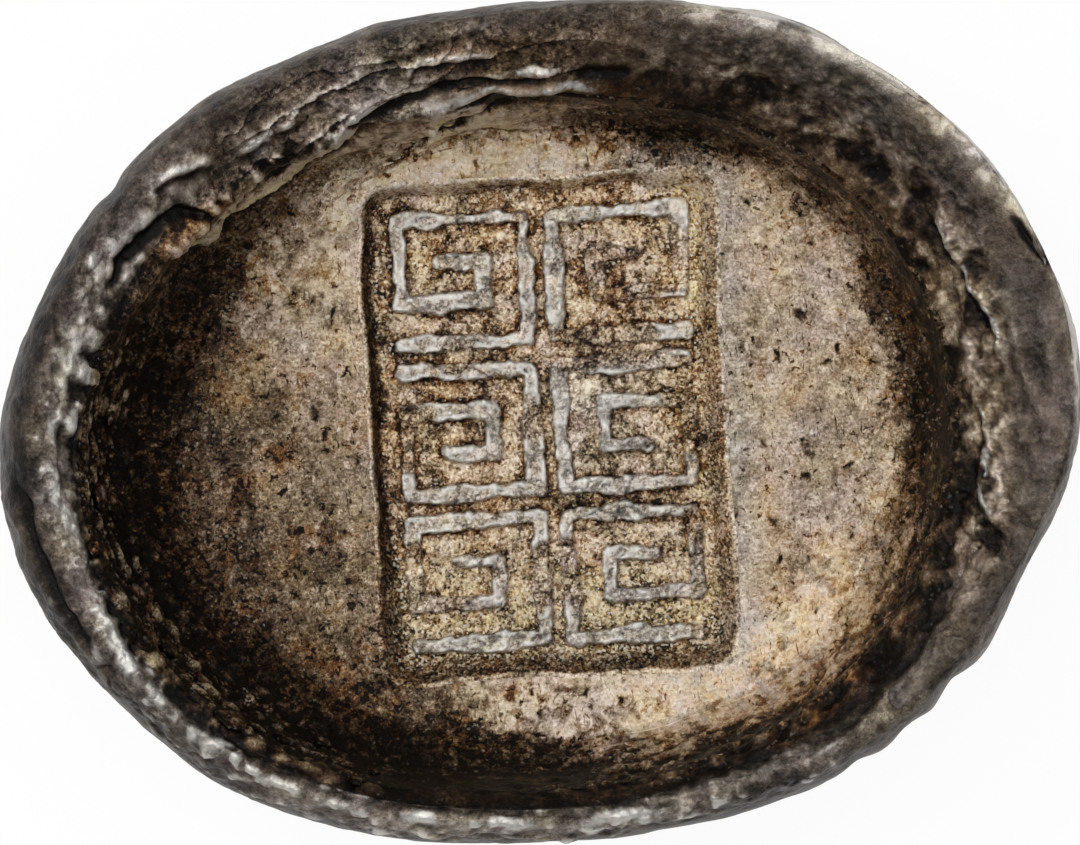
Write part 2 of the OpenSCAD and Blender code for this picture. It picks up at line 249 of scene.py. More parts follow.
# %% Cracks and dents
# Each crack: points, depth, and half its width.
CRACKS = [
    ([(-21.5, 9.1), (-20.5, 11.1), (-18.7, 12.4), (-16.9, 13.1), (-14.6, 13.0)], 0.5, 0.28),
    ([(-13.3, 15.0), (-12.1, 15.2), (-10.8, 16.7)], 0.25, 0.3),
    ([(3.6, 17.9), (5.4, 17.6), (7.4, 17.3)], 0.3, 0.4),
    ([(-9.0, 16.2), (-6.0, 17.2), (-3.0, 18.0), (-0.6, 17.9), (3.0, 17.9)], 0.4, 0.22),
    ([(-7.6, 14.1), (-5.4, 15.3), (-3.2, 16.4), (0.0, 16.9), (3.6, 16.7)], 0.3, 0.2),
    ([(25.4, 8.2), (26.3, 6.2), (27.6, 4.1)], 0.2, 0.2),
    ([(-27.7, 2.0), (-26.9, -1.0), (-26.7, -2.5), (-25.9, -6.1), (-24.2, -9.4)], 0.35, 0.22),
]
# Dents of the outline, small and broad: place, depth, and half the width.
DENTS = [
    ((-20.7, 14.7), 0.3, 0.9), ((20.1, -16.7), 0.4, 1.2), ((17.4, -19.0), 0.4, 1.1),
    ((14.4, -19.9), 0.3, 1.0), ((20.3, 15.8), 0.65, 3.2), ((27.4, 4.6), 0.4, 4.0),
    ((-10.9, 20.7), 0.36, 4.5), ((24.4, -10.9), 0.42, 3.5),
]
# A ring left by a burst bubble at the lower right: middle, radius, height, and half the width of its wall.
BUBBLE_MID, BUBBLE_R, BUBBLE_H, BUBBLE_WALL = (20.0, -14.2), 0.5, 0.08, 0.14
# Where along the section the rim's skin ends and the dark hollow begins: angle in degrees, and place.
SKIN_END = [(0, 2.95), (15, 2.8), (30, 2.65), (60, 2.6), (75, 2.65), (90, 3.0), (120, 3.0), (135, 2.65),
            (150, 2.7), (180, 2.8), (195, 2.7), (210, 2.35), (225, 2.05), (255, 1.98), (270, 2.0), (285, 2.4),
            (300, 2.4), (330, 2.6), (345, 2.85), (360, 2.95)]
print("ridges:", len(RIDGES), "cracks:", len(CRACKS), "dents:", len(DENTS))


# %% Parts of the rim
def arc(a, start, end, soft=10):
    """1 between two angles in degrees around the ingot, fading over soft degrees at each end."""
    off = np.abs((a / DEG - (start + end) / 2 + 180) % 360 - 180)
    return 1 - soft_step(off, (end - start - soft) / 2, (end - start + soft) / 2)


def towards(a, angle, width):
    """1 in one direction in degrees, falling off over a width in degrees to each side."""
    return np.exp(-(((a / DEG - angle + 180) % 360 - 180) / width) ** 2)


def band(s, low, high, soft=0.2):
    """1 between two places along the section."""
    return soft_step(s, low - soft / 2, low + soft / 2) * (1 - soft_step(s, high - soft / 2, high + soft / 2))


def skin_end(a):
    """Where along the section the rim's skin ends."""
    angles, places = zip(*SKIN_END)
    return np.interp(a / DEG % 360, angles, places)


def calm_skin(a, s):
    """1 on the smooth skin at the upper right of the rim."""
    return arc(a, 12, 76, 20) * band(s, 1.5, 2.6, 0.3)


# %% Relief of the outer wall, the sheets and the nuggets
# In mm: spacing of the rings and of the sheets, and the radius of the rim where the sheets are.
RING_PITCH, SHEET_PITCH, SHEET_R = 1.4, 1.4, 22


def wall_relief(p, s):
    """Rings left on the outer wall as the mould filled, low and broken, and small gas pits; in mm."""
    outside = 1 - soft_step(s, 0.9, 1.3)
    rings = outside * (0.25 + 0.75 * soft_step(uneven(p, 7, 2, seed=69), -0.4, 0.5))
    ripple = np.sin(2 * math.pi * (p[:, 2] + 1.5 * uneven(p, 8, 3, seed=3)) / RING_PITCH)
    near, _, tag = scattered(p + 0.3 * uneven(p, 1.2, 2, seed=71)[:, None], 2.6, seed=9)
    pits = np.clip(1 - (near / (0.3 + 0.5 * np.abs(tag))) ** 2, 0, 1) * (tag > 0.1) * outside
    return 0.06 * ripple * rings - 0.35 * pits


def sheet_relief(p, a, s):
    """Sheets of skin at the top of the rim, each with a raised inner edge; in mm."""
    across = np.hypot(p[:, 0] / (LENGTH / 2), p[:, 1] / (WIDTH / 2)) * SHEET_R
    k = -across / SHEET_PITCH + 0.5 * uneven(p, 6, 2, seed=4) + 0.08 * uneven(p, 1.5, 2, seed=5)
    return 0.26 * ((k - np.floor(k)) ** 1.5 - 0.4) * arc(a, 78, 122, 16) * band(s, 2.25, 3.0, 0.4)


def nuggets(p):
    """Lumps of two sizes, up to about 1 mm across and far from round; 0 to 1."""
    best = np.zeros(len(p))
    for size, seed, share in ((1.4, 0, 1.0), (0.9, 6, 0.7)):
        bent = p + 0.3 * size * uneven(p, 0.7 * size, 2, seed=17 + seed)[:, None]
        near, _, tag = scattered(bent, size, seed)
        lump = np.clip(1 - (near / size / (0.4 + 0.3 * np.abs(tag))) ** 2, 0, 1)
        best = np.maximum(best, lump * (0.3 + 0.7 * np.abs(tag)) * share)
    return best


# %% Relief of the whole surface
def frozen_relief(p, a, s):
    """How far the frozen metal stands off the plain section at the points p, in mm, and how much of it is
    scraped bright along ridges (above 0) or lies in a crack (below 0)."""
    rim, end = band(s, 1.4, 3.1), skin_end(a)
    calm = 1 - 0.65 * calm_skin(a, s)
    lift = 0.2 * uneven(p, 11, 2)
    lift += (0.1 * uneven(p, 4.2, 2, seed=1) + 0.06 * uneven(p, 1.6, 3, seed=2)) * calm
    lift += 0.07 * rim * calm * uneven(p, 0.8, 3, 0.6, seed=26)
    lift += wall_relief(p, s) + sheet_relief(p, a, s)
    # Nuggets along the crest of the thin side and on the wall below it.
    nugget = nuggets(p)
    crest = arc(a, 136, 298, 24) * band(s, end - 0.75, end + 0.05, 0.3)
    wall = arc(a, 160, 242, 30) * band(s, end, 3.65, 0.3)
    lift += nugget * (0.3 * crest + 0.36 * wall)
    # Knots along the inner edge of the skin at the right and the upper right, grit on the inner wall, and a
    # rough lip at the lower right.
    lift += 0.22 * uneven(p, 0.9, 3, 0.6, seed=30) * arc(a, -38, 70, 16) * band(s, end - 0.4, end + 0.25)
    lift += 0.13 * uneven(p, 1.4, 4, 0.6, seed=6) * band(s, 2.9, 4.1)
    lift += 0.3 * uneven(p, 1.3, 3, 0.6, seed=79) * arc(a, 262, 340, 20) * band(s, 2.6, 3.45, 0.3)
    # The drawn lines, bent a little, with lumpy heights and torn bright edges.
    drawn = p + 0.28 * np.stack([uneven(p, 2.4, 3, 0.4, seed=7), uneven(p, 2.4, 3, 0.4, seed=8), 0 * a], -1)
    lumps = 0.75 + 0.4 * uneven(p, 0.5, 3, seed=9) + 0.4 * uneven(p, 1.6, 2, seed=27)
    ragged, up = torn(p), soft_step(s, 1.5, 1.9)
    broken = soft_step(uneven(ragged, 0.8, 3, 0.6, seed=28), -0.6, 0.3)
    patchy = soft_step(uneven(ragged, 1.7, 2, seed=31), -0.5, 0.4)
    scraped = nugget * (0.95 * patchy * crest + 1.1 * wall)
    for points, height, slope, bright, width in RIDGES:
        d, outer, along = from_line(drawn, points)
        side = np.where(outer, np.exp(-(d / slope) ** 2), np.exp(-(d / 0.25) ** 2))
        gap = np.where(outer, 0, np.exp(-((d - 0.5) / 0.25) ** 2))
        ends = soft_step(along, 0, 0.2) * soft_step(1 - along, 0, 0.2) * up
        lift += height * (side * (0.4 + 0.6 * lumps) - 0.4 * gap) * ends
        left_bright = (patchy if width > 0.4 else broken) * np.clip(0.3 + lumps, 0, 1.2) * ends
        scraped = np.maximum(scraped, bright * np.exp(-(d / width) ** 2) * left_bright) - height * gap * ends
    for points, depth, half in CRACKS:
        d, _, along = from_line(drawn, points)
        open_ = np.exp(-(d / half) ** 2) * soft_step(along, 0, 0.3) * soft_step(1 - along, 0, 0.3) * up
        lift -= depth * open_
        scraped -= 0.9 * open_
    for place, depth, half in DENTS:
        lift -= depth * np.exp(-((p[:, :2] - place) ** 2).sum(1) / half ** 2) * soft_step(p[:, 2], 6, 13)
    bubble = np.hypot(p[:, 0] - BUBBLE_MID[0], p[:, 1] - BUBBLE_MID[1]) + 0.15 * uneven(p, 0.8, 2, seed=29)
    lift += BUBBLE_H * np.exp(-((bubble - BUBBLE_R) / BUBBLE_WALL) ** 2)
    return lift, scraped


def frozen(a, s):
    """Points of the frozen surface, the directions out of it, its relief in mm and how it is scraped."""
    a, s = np.broadcast_arrays(a, s)
    plain, normal = section(a, s), section_normal(a, s)
    lift, scraped = (v.reshape(a.shape) for v in frozen_relief(plain.reshape(-1, 3), a.ravel(), s.ravel()))
    return plain + normal * lift[..., None], normal, lift, scraped


print("relief on the crest, mm:", frozen(np.arange(4) * QUARTER, np.full(4, 2.0))[2].round(2))

# %% [markdown]
# ## Meshes from grids
# Every surface here is a grid of points, rows along the section and columns around it. One helper joins a
# grid into faces, one closes a sheet with its own underside, and one makes the Blender mesh. Each point
# also carries four numbers that the materials read: tone (how dark the tarnish is, with painted shade and
# painted highlights in places), warm (grey or brown), worn (how bare the metal is) and gold (how many
# golden grains, some of them painted as glints). They come from the shape, as on the real thing: dirt stays
# in the low places, and handling polishes the high ones.

# %% Helpers for grids
MARKS = ("tone", "warm", "worn", "gold")


def grid_faces(rows, cols, wrap, first=0):
    """Four-cornered faces of a grid of points; wrap joins the last column to the first."""
    r, c = np.meshgrid(np.arange(rows - 1), np.arange(cols if wrap else cols - 1), indexing="ij")
    d = (c + 1) % cols
    low, high = r * cols, (r + 1) * cols
    return first + np.stack([low + c, low + d, high + d, high + c], -1).reshape(-1, 4)


def rim_of(rows, cols):
    """The points around a grid, in turn."""
    index = np.arange(rows * cols).reshape(rows, cols)
    return np.concatenate([index[0, :-1], index[:-1, -1], index[-1, :0:-1], index[:0:-1, 0]])


def strip(upper, lower):
    """Four-cornered faces between two closed loops of points."""
    return np.stack([upper, lower, np.roll(lower, -1), np.roll(upper, -1)], -1)


def closed_sheet(top, under, wrap):
    """Points and faces of a grid and its underside, joined around the edges."""
    rows, cols = top.shape[:2]
    n = rows * cols
    loops = [np.arange(cols), np.arange(n)[:-cols - 1:-1]] if wrap else [rim_of(rows, cols)]
    faces = [grid_faces(rows, cols, wrap), grid_faces(rows, cols, wrap, n)[:, ::-1]]
    faces += [strip(loop, loop + n) for loop in loops]
    return np.concatenate([top.reshape(-1, 3), under.reshape(-1, 3)]), faces


def blur(grid, reach, wrap):
    """A grid of points smoothed over reach points each way."""
    for _ in range(2):
        for axis in (0, 1):
            pad = [(0, 0)] * grid.ndim
            pad[axis] = (reach + 1, reach)
            sums = np.cumsum(np.pad(grid, pad, mode="wrap" if axis and wrap else "edge"), axis=axis)
            here, span = np.arange(grid.shape[axis]), 2 * reach + 1
            grid = (np.take(sums, here + span, axis) - np.take(sums, here, axis)) / span
    return grid


def standing(lift, reach, wrap=False):
    """How far each point of a grid stands over its surroundings, in mm."""
    return lift - blur(lift, reach, wrap)


# %% Helper for a piece
def add_piece(name, points, faces, marks, finish, nodes, smooth=1):
    """Makes a mesh from points in mm and lists of faces, with one number per point for each mark. The first
    lists are shaded smooth, as many as smooth says; sides and undersides stay flat, so that they don't
    darken the edge of the top."""
    mesh = bpy.data.meshes.new(name)
    mesh.vertices.add(len(points))
    mesh.vertices.foreach_set("co", (np.asarray(points) * MM).astype(np.float32).ravel())
    sizes = np.concatenate([np.full(len(f), f.shape[1]) for f in faces])
    mesh.loops.add(int(sizes.sum()))
    mesh.loops.foreach_set("vertex_index", np.concatenate([f.ravel() for f in faces]).astype(np.int32))
    mesh.polygons.add(len(sizes))
    mesh.polygons.foreach_set("loop_start", (np.cumsum(sizes) - sizes).astype(np.int32))
    mesh.update(calc_edges=True)
    rounded = np.concatenate([np.full(len(f), k < smooth) for k, f in enumerate(faces)])
    mesh.polygons.foreach_set("use_smooth", rounded)
    mesh.validate()
    for mark, values in marks.items():
        layer = mesh.attributes.new(mark, "FLOAT", "POINT")
        layer.data.foreach_set("value", np.clip(values, 0, 1).astype(np.float32).ravel())
    piece = bpy.data.objects.new(name, mesh)
    bpy.context.scene.collection.objects.link(piece)
    mesh.materials.append(finish)
    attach(piece, "root")
    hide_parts(*nodes)
    print(name, "triangles:", int((sizes - 2).sum()))


print("a 3 x 4 grid has", len(grid_faces(3, 4, False)), "faces")

# %% [markdown]
# ## Tarnished silver
# The metal is cast silver of about 97 per cent, left as it came from the mould. Its surface gives the eye
# three things: bare metal, pale and mirror-like but scratched soft, on every high spot; a grey sulphide
# skin that is still metallic; and brown to black sulphide and dirt, dull, in every low spot. All finishes
# share one node network, so that tarnish runs on from piece to piece, and differ in grain, roughness and
# unevenness. A metal's IOR stays at its default.

# %% One node adder and one colour reader
def linear(code):
    """A hex colour, as seen on a screen, as linear red, green, blue and 1."""
    parts = [int(code[k:k + 2], 16) / 255 for k in (1, 3, 5)]
    return [p / 12.92 if p <= 0.04045 else ((p + 0.055) / 1.055) ** 2.4 for p in parts] + [1.0]


def add(tree, kind, inputs=(), **settings):
    """Adds a node: settings are its own properties, inputs its sockets, each a number, a colour or a link."""
    node = tree.nodes.new("ShaderNode" + kind)
    for key, value in settings.items():
        setattr(node, key, value)
    for key, value in dict(inputs).items():
        if isinstance(value, bpy.types.NodeSocket):
            tree.links.new(value, node.inputs[key])
        else:
            node.inputs[key].default_value = value
    return node


def per_mm(size):
    """The Scale of a texture whose pattern has that size in mm."""
    return 1 / (size * MM)


print("mid grey, linear:", [round(v, 3) for v in linear("#808080")])

# %% [markdown]
# Tarnish has three families of colour, grey, brown and rusty, each from black to pale along its tone.
# Grains and flecks lift the palest tarnish beyond a tone of 1, so the families run on to a tone of
# BRIGHTEST. The noise has three sizes, from the metal's grains to broad clouds. Painting a picture of it
# could look the same, but a pattern made from sizes in millimetres is as sharp as needed from anywhere.

# %% Colours of silver and of its tarnish
# The glint colours are painted highlights, laid on single grains.
BARE_SILVER, PAINTED_PALE_GLINT, PAINTED_GOLDEN_GLINT = "#DAD7D0", "#E6DFD4", "#E2CC98"
LILAC_FILM, YELLOW_FILM, OLIVE_FILM = [1.0, 0.97, 1.02, 1], [1.01, 1.0, 0.9, 1], [0.97, 1.0, 0.74, 1]
BRIGHTEST = 1.3
GREY_TARNISH = [(0.0, "#0D0B09"), (0.22, "#2B2622"), (0.42, "#4D4640"), (0.62, "#6F6862"), (0.82, "#9C958C"),
                (1.0, "#C4BFB7"), (BRIGHTEST, "#E6E2DB")]
BROWN_TARNISH = [(0.0, "#0E0A06"), (0.2, "#33251A"), (0.42, "#5E4A34"), (0.62, "#8B7860"), (0.82, "#B7A48E"),
                 (1.0, "#D6C6B1"), (BRIGHTEST, "#F0E6D8")]
RUSTY_TARNISH = [(0.0, "#120A05"), (0.2, "#3C2312"), (0.42, "#6A4524"), (0.62, "#957147"), (0.82, "#BBA07C"),
                 (1.0, "#DAC4A4"), (BRIGHTEST, "#F0E4CF")]
# Sizes in mm: crystals of the cast metal, flecks of sulphide, and width and length of a scratch. Real
# crystals and hairline scratches are finer, and these are drawn as coarse as shows.
CRYSTAL, FLECK, SCRATCH_W, SCRATCH_L = 0.13, 0.42, 0.13, 0.9


# %% Patterns of the metal
def metal_patterns(tree, place, grain):
    """Noise at three sizes, from grains of that size in mm to broad clouds, ragged crystals, and blots."""
    fine, patch, cloud = (
        add(tree, "TexNoise", {"Vector": place, "Scale": per_mm(grain * times), "Detail": detail,
                               "Roughness": rough})
        for times, detail, rough in ((1, 4, 0.75), (5, 6, 0.7), (18, 6, 0.62)))
    spread, drift, sweep = (
        add(tree, "Math", {0: noise.outputs["Fac"], 1: -0.5}, operation="ADD").outputs[0]
        for noise in (fine, patch, cloud))
    ragged = add(tree, "VectorMath", {0: fine.outputs["Color"], 1: [0.2 * MM] * 3, 2: place},
                 operation="MULTIPLY_ADD").outputs[0]
    crystal = add(tree, "TexVoronoi", {"Vector": ragged, "Scale": per_mm(CRYSTAL)}).outputs
    blot = add(tree, "TexNoise", {"Vector": place, "Scale": per_mm(FLECK), "Detail": 3, "Roughness": 0.6,
                                  "Distortion": 0.5})
    crystal_shade, cloud_shade = (add(tree, "SeparateColor", {"Color": colour}).outputs
                                  for colour in (crystal["Color"], cloud.outputs["Color"]))
    return SimpleNamespace(fine=fine.outputs["Fac"], patch=patch.outputs["Fac"], blot=blot.outputs["Fac"],
                           spread=spread, drift=drift, sweep=sweep, crystal=crystal["Distance"],
                           crystal_shade=crystal_shade, cloud_shade=cloud_shade)


# %% Tone and warmth of the tarnish
def tarnish_tone(tree, place, metal, tone, warm, mottle, grit, flecks, scratches, crumbs):
    """Tone and warmth at each spot, from the marks of the points and the patterns of the metal."""
    # The grain is strong in some places and calm in others, and each crystal has a tone of its own.
    lively = add(tree, "MapRange", {0: metal.cloud_shade["Green"], 1: 0.4, 2: 0.6, 3: 0.5, 4: 1.4}).outputs[0]
    stir = add(tree, "Math", {0: metal.spread, 1: lively}, operation="MULTIPLY").outputs[0]
    own = add(tree, "Math", {0: metal.crystal_shade["Blue"], 1: -0.5}, operation="ADD").outputs[0]
    # Where pale tarnish turns dark it breaks into patches, so the unevenness is strongest at middle tones.
    square = add(tree, "Math", {0: tone, 1: tone}, operation="MULTIPLY").outputs[0]
    middle = add(tree, "Math", {0: tone, 1: square}, operation="SUBTRACT").outputs[0]
    swing = add(tree, "Math", {0: metal.drift, 1: 1.5, 2: metal.spread}, operation="MULTIPLY_ADD").outputs[0]
    swing = add(tree, "Math", {0: swing, 1: middle}, operation="MULTIPLY").outputs[0]
    # Black sulphide in ragged flecks of 0.1 to 0.3 mm and in brown stains of about 0.5 mm, both thickest where
    # the tarnish is dark, then pale bare spots, rusty spots, and crumbs of dirt.
    thick = add(tree, "Math", {0: tone, 1: -0.2, 2: 0.16}, operation="MULTIPLY_ADD").outputs[0]
    thick = add(tree, "Math", {0: metal.sweep, 1: 0.3, 2: thick}, operation="MULTIPLY_ADD").outputs[0]
    sulphide, dirt = (add(tree, "Math", {0: pattern, 1: thick}, operation="ADD").outputs[0]
                      for pattern in (metal.blot, metal.patch))
    dark, stain, light, rusty, crumb = (
        add(tree, "MapRange", {0: pattern, 1: start, 2: full, 4: most},
            interpolation_type="SMOOTHSTEP").outputs[0]
        for pattern, start, full, most in (
            (sulphide, 0.64, 0.67, 1.0), (dirt, 0.56, 0.62, 1.0), (metal.blot, 0.4, 0.33, 1.0),
            (metal.blot, 0.56, 0.64, 0.15), (metal.patch, 0.48, 0.36, 1.0)))
    # Crumbs show on black tarnish only.
    night = add(tree, "MapRange", {0: tone, 1: 0.0, 2: 0.7, 3: crumbs, 4: 0.0}).outputs[0]
    crumb = add(tree, "Math", {0: crumb, 1: night}, operation="MULTIPLY").outputs[0]
    for part, strength in (
            (own, grit), (stir, 0.9 * mottle), (metal.drift, 1.2 * mottle), (metal.sweep, mottle),
            (swing, 4 * mottle), (dark, -flecks), (stain, -0.6 * flecks), (light, 0.5 * flecks), (crumb, 1.0)):
        tone = add(tree, "Math", {0: part, 1: strength, 2: tone}, operation="MULTIPLY_ADD").outputs[0]
    for part, strength in ((metal.sweep, 0.45), (rusty, 1.0), (stain, 0.4 * flecks)):
        warm = add(tree, "Math", {0: part, 1: strength, 2: warm}, operation="MULTIPLY_ADD").outputs[0]
    for turn in (-35, 15, 70) if scratches else ():
        turned = add(tree, "Mapping", {"Vector": place, "Rotation": [0, 0, turn * DEG], "Scale": [
            per_mm(SCRATCH_W), per_mm(SCRATCH_L), per_mm(SCRATCH_W)]}).outputs[0]
        hair = add(tree, "TexNoise", {"Vector": turned, "Scale": 1.0, "Detail": 2, "Distortion": 0.8})
        hair = add(tree, "MapRange", {0: hair.outputs["Fac"], 1: 0.69, 2: 0.72},
                   interpolation_type="SMOOTHSTEP").outputs[0]
        tone = add(tree, "Math", {0: hair, 1: -scratches, 2: tone}, operation="MULTIPLY_ADD").outputs[0]
    return tone, warm


# %% Colour of the tarnish
def tarnish_colour(tree, metal, tone, warm, gold, painted_glints):
    """The colour of the tarnish, with thin films, golden grains and painted glints."""
    tone = add(tree, "Math", {0: tone, 1: 1 / BRIGHTEST}, operation="MULTIPLY").outputs[0]
    ramps = []
    for stops in (GREY_TARNISH, BROWN_TARNISH, RUSTY_TARNISH):
        ramp = add(tree, "ValToRGB", {"Fac": tone})
        for k, (at, code) in enumerate(stops):
            stop = ramp.color_ramp.elements[k] if k < 2 else ramp.color_ramp.elements.new(at / BRIGHTEST)
            stop.position, stop.color = at / BRIGHTEST, linear(code)
        ramps.append(ramp.outputs["Color"])
    brown, rusty = (add(tree, "MapRange", {0: warm, 1: start, 2: full}).outputs[0]
                    for start, full in ((0.0, 0.7), (0.7, 1.0)))
    # Thin films tint the metal lilac in some places and yellow in others. Where golden grains lie thick, the
    # tarnish between them is olive. A share of the grains is painted pale or golden as glints, painted
    # highlights.
    film = add(tree, "MapRange", {0: metal.cloud_shade["Blue"], 1: 0.4, 2: 0.6}).outputs[0]
    film = add(tree, "Mix", {0: film, 6: LILAC_FILM, 7: YELLOW_FILM}, data_type="RGBA").outputs[2]
    golden = add(tree, "MapRange", {0: gold, 1: 0.25, 2: 0.55}).outputs[0]
    share = add(tree, "Math", {0: gold, 1: metal.crystal_shade["Red"]}, operation="SUBTRACT").outputs[0]
    share = add(tree, "MapRange", {0: share, 1: 0.0, 2: 0.2, 4: painted_glints}).outputs[0]
    painted_glint = add(tree, "Mix", {0: metal.crystal_shade["Green"], 6: linear(PAINTED_PALE_GLINT),
                              7: linear(PAINTED_GOLDEN_GLINT)}, data_type="RGBA").outputs[2]
    colour = ramps[0]
    for amount, other, blend in ((brown, ramps[1], "MIX"), (rusty, ramps[2], "MIX"), (1.0, film, "MULTIPLY"),
                                 (golden, OLIVE_FILM, "MULTIPLY"), (share, painted_glint, "MIX")):
        colour = add(tree, "Mix", {0: amount, 6: colour, 7: other}, data_type="RGBA",
                     blend_type=blend).outputs[2]
    return colour


# %% The finish
def tarnished_silver(name, grain, dull=0.45, depth=0.05, mottle=0.45, grit=0.04, flecks=0.05, scratches=0.0,
                     painted_glints=0.3, broken=0.5, drip=1.0, crumbs=0.0):
    """Cast silver with tarnish. grain is the size of its grains and depth the height of their bumps, in mm;
    dull is the tarnish's roughness; mottle, grit, flecks, scratches, glints and crumbs say how strongly each
    of these shows, and broken how torn the bare metal is. A drip below 1 draws the pattern out down a
    steep wall."""
    finish = bpy.data.materials.new(name)
    finish.use_nodes = True
    tree = finish.node_tree
    tree.nodes.clear()
    place = add(tree, "TexCoord").outputs["Object"]
    if drip < 1:
        place = add(tree, "Mapping", {"Vector": place, "Scale": [1, 1, drip]}).outputs[0]
    tone, warm, worn, gold = (add(tree, "Attribute", attribute_name=mark).outputs["Fac"] for mark in MARKS)
    metal = metal_patterns(tree, place, grain)
    tone, warm = tarnish_tone(tree, place, metal, tone, warm, mottle, grit, flecks, scratches, crumbs)
    colour = tarnish_colour(tree, metal, tone, warm, gold, painted_glints)
    # Bare metal, broken up by the grains.
    bared = worn
    for part in (metal.spread, metal.drift):
        bared = add(tree, "Math", {0: part, 1: broken, 2: bared}, operation="MULTIPLY_ADD").outputs[0]
    bared = add(tree, "MapRange", {0: bared, 1: 0.15, 2: 0.75}, interpolation_type="SMOOTHSTEP").outputs[0]
    bared = add(tree, "Math", {0: bared, 1: worn}, operation="MULTIPLY", use_clamp=True).outputs[0]
    colour = add(tree, "Mix", {0: bared, 6: colour, 7: linear(BARE_SILVER)}, data_type="RGBA").outputs[2]
    metallic = add(tree, "MapRange", {0: bared, 3: 0.6, 4: 0.95}).outputs[0]
    rough = add(tree, "MapRange", {0: bared, 3: dull, 4: 0.42}).outputs[0]
    rough = add(tree, "Math", {0: metal.spread, 1: 0.3, 2: rough}, operation="MULTIPLY_ADD").outputs[0]
    bumps = add(tree, "Bump", {"Height": metal.fine, "Strength": 0.9, "Distance": depth * MM}).outputs[0]
    bumps = add(tree, "Bump", {"Height": metal.patch, "Strength": 0.7, "Distance": 4 * depth * MM,
                               "Normal": bumps}).outputs[0]
    bumps = add(tree, "Bump", {"Height": metal.crystal, "Strength": 0.4, "Distance": 0.5 * depth * MM,
                               "Normal": bumps}, invert=True).outputs[0]
    shader = add(tree, "BsdfPrincipled", {"Base Color": colour, "Metallic": metallic, "Roughness": rough,
                                          "Normal": bumps, "Specular IOR Level": 0.25})
    add(tree, "OutputMaterial", {"Surface": shader.outputs[0]})
    return finish


# %% All finishes of the ingot
mould_silver = tarnished_silver("cast_silver_grey_tarnish", 0.2)
skin_silver = tarnished_silver("cast_silver_smooth_skin", 0.22, dull=0.42, mottle=0.28)
strata_silver = tarnished_silver("cast_silver_layered_skin", 0.2, mottle=0.6, flecks=0.2)
lap_silver = tarnished_silver("cast_silver_lap", 0.18, mottle=0.7, grit=0.1, flecks=0.25, broken=0.7)
pool_silver = tarnished_silver("cast_silver_brown_tarnish", 0.15, dull=0.55, mottle=0.65, grit=0.22,
                               flecks=0.5, scratches=0.5, painted_glints=0.6, broken=1.0, drip=0.4, crumbs=0.26)
stamped_silver = tarnished_silver("cast_silver_stamped", 0.14, dull=0.5, mottle=0.8, grit=0.55, flecks=0.25,
                                  scratches=0.3, painted_glints=0.7, broken=0.6)
bead_silver = tarnished_silver("cast_silver_bead", 0.2, depth=0.04, mottle=0.8, flecks=0.2)
black_crust = tarnished_silver("silver_sulphide_crust", 0.16, dull=0.65, depth=0.08, mottle=0.75, grit=0.26,
                               flecks=0.45, painted_glints=0.6, broken=1.0, drip=0.4, crumbs=0.26)
print("finishes:", len(bpy.data.materials))

# %% [markdown]
# ## The shell: base, wall and rim
# This is the silver that froze first. It is computed as one grid from the base to the foot of the inner
# wall, so that shape and tarnish run through, and then cut along two rows into pieces that are light
# enough to edit.

# %% Points of the shell
COLS = 1200
ROWS = [56, 80, 76, 6]
CUTS = [0, 1.05, 2.95, 4.0]
s_rows = np.concatenate([np.linspace(CUTS[k], CUTS[k + 1], ROWS[k], endpoint=False) for k in range(3)]
                        + [np.linspace(4.0, 5.0, ROWS[3])])
around = np.arange(COLS) * 2 * math.pi / COLS
shell_a, shell_s = np.meshgrid(around, s_rows)
shell, _, shell_lift, shell_scraped = frozen(shell_a, shell_s)
shell[:, :, 2] = np.maximum(shell[:, :, 2], 0.0)
shell[0, :, 2] = 0.0
shell_z = shell[..., 2]
print("shell points:", shell.shape, "heights, mm:", shell_z.min().round(2), "to", shell_z.max().round(2))
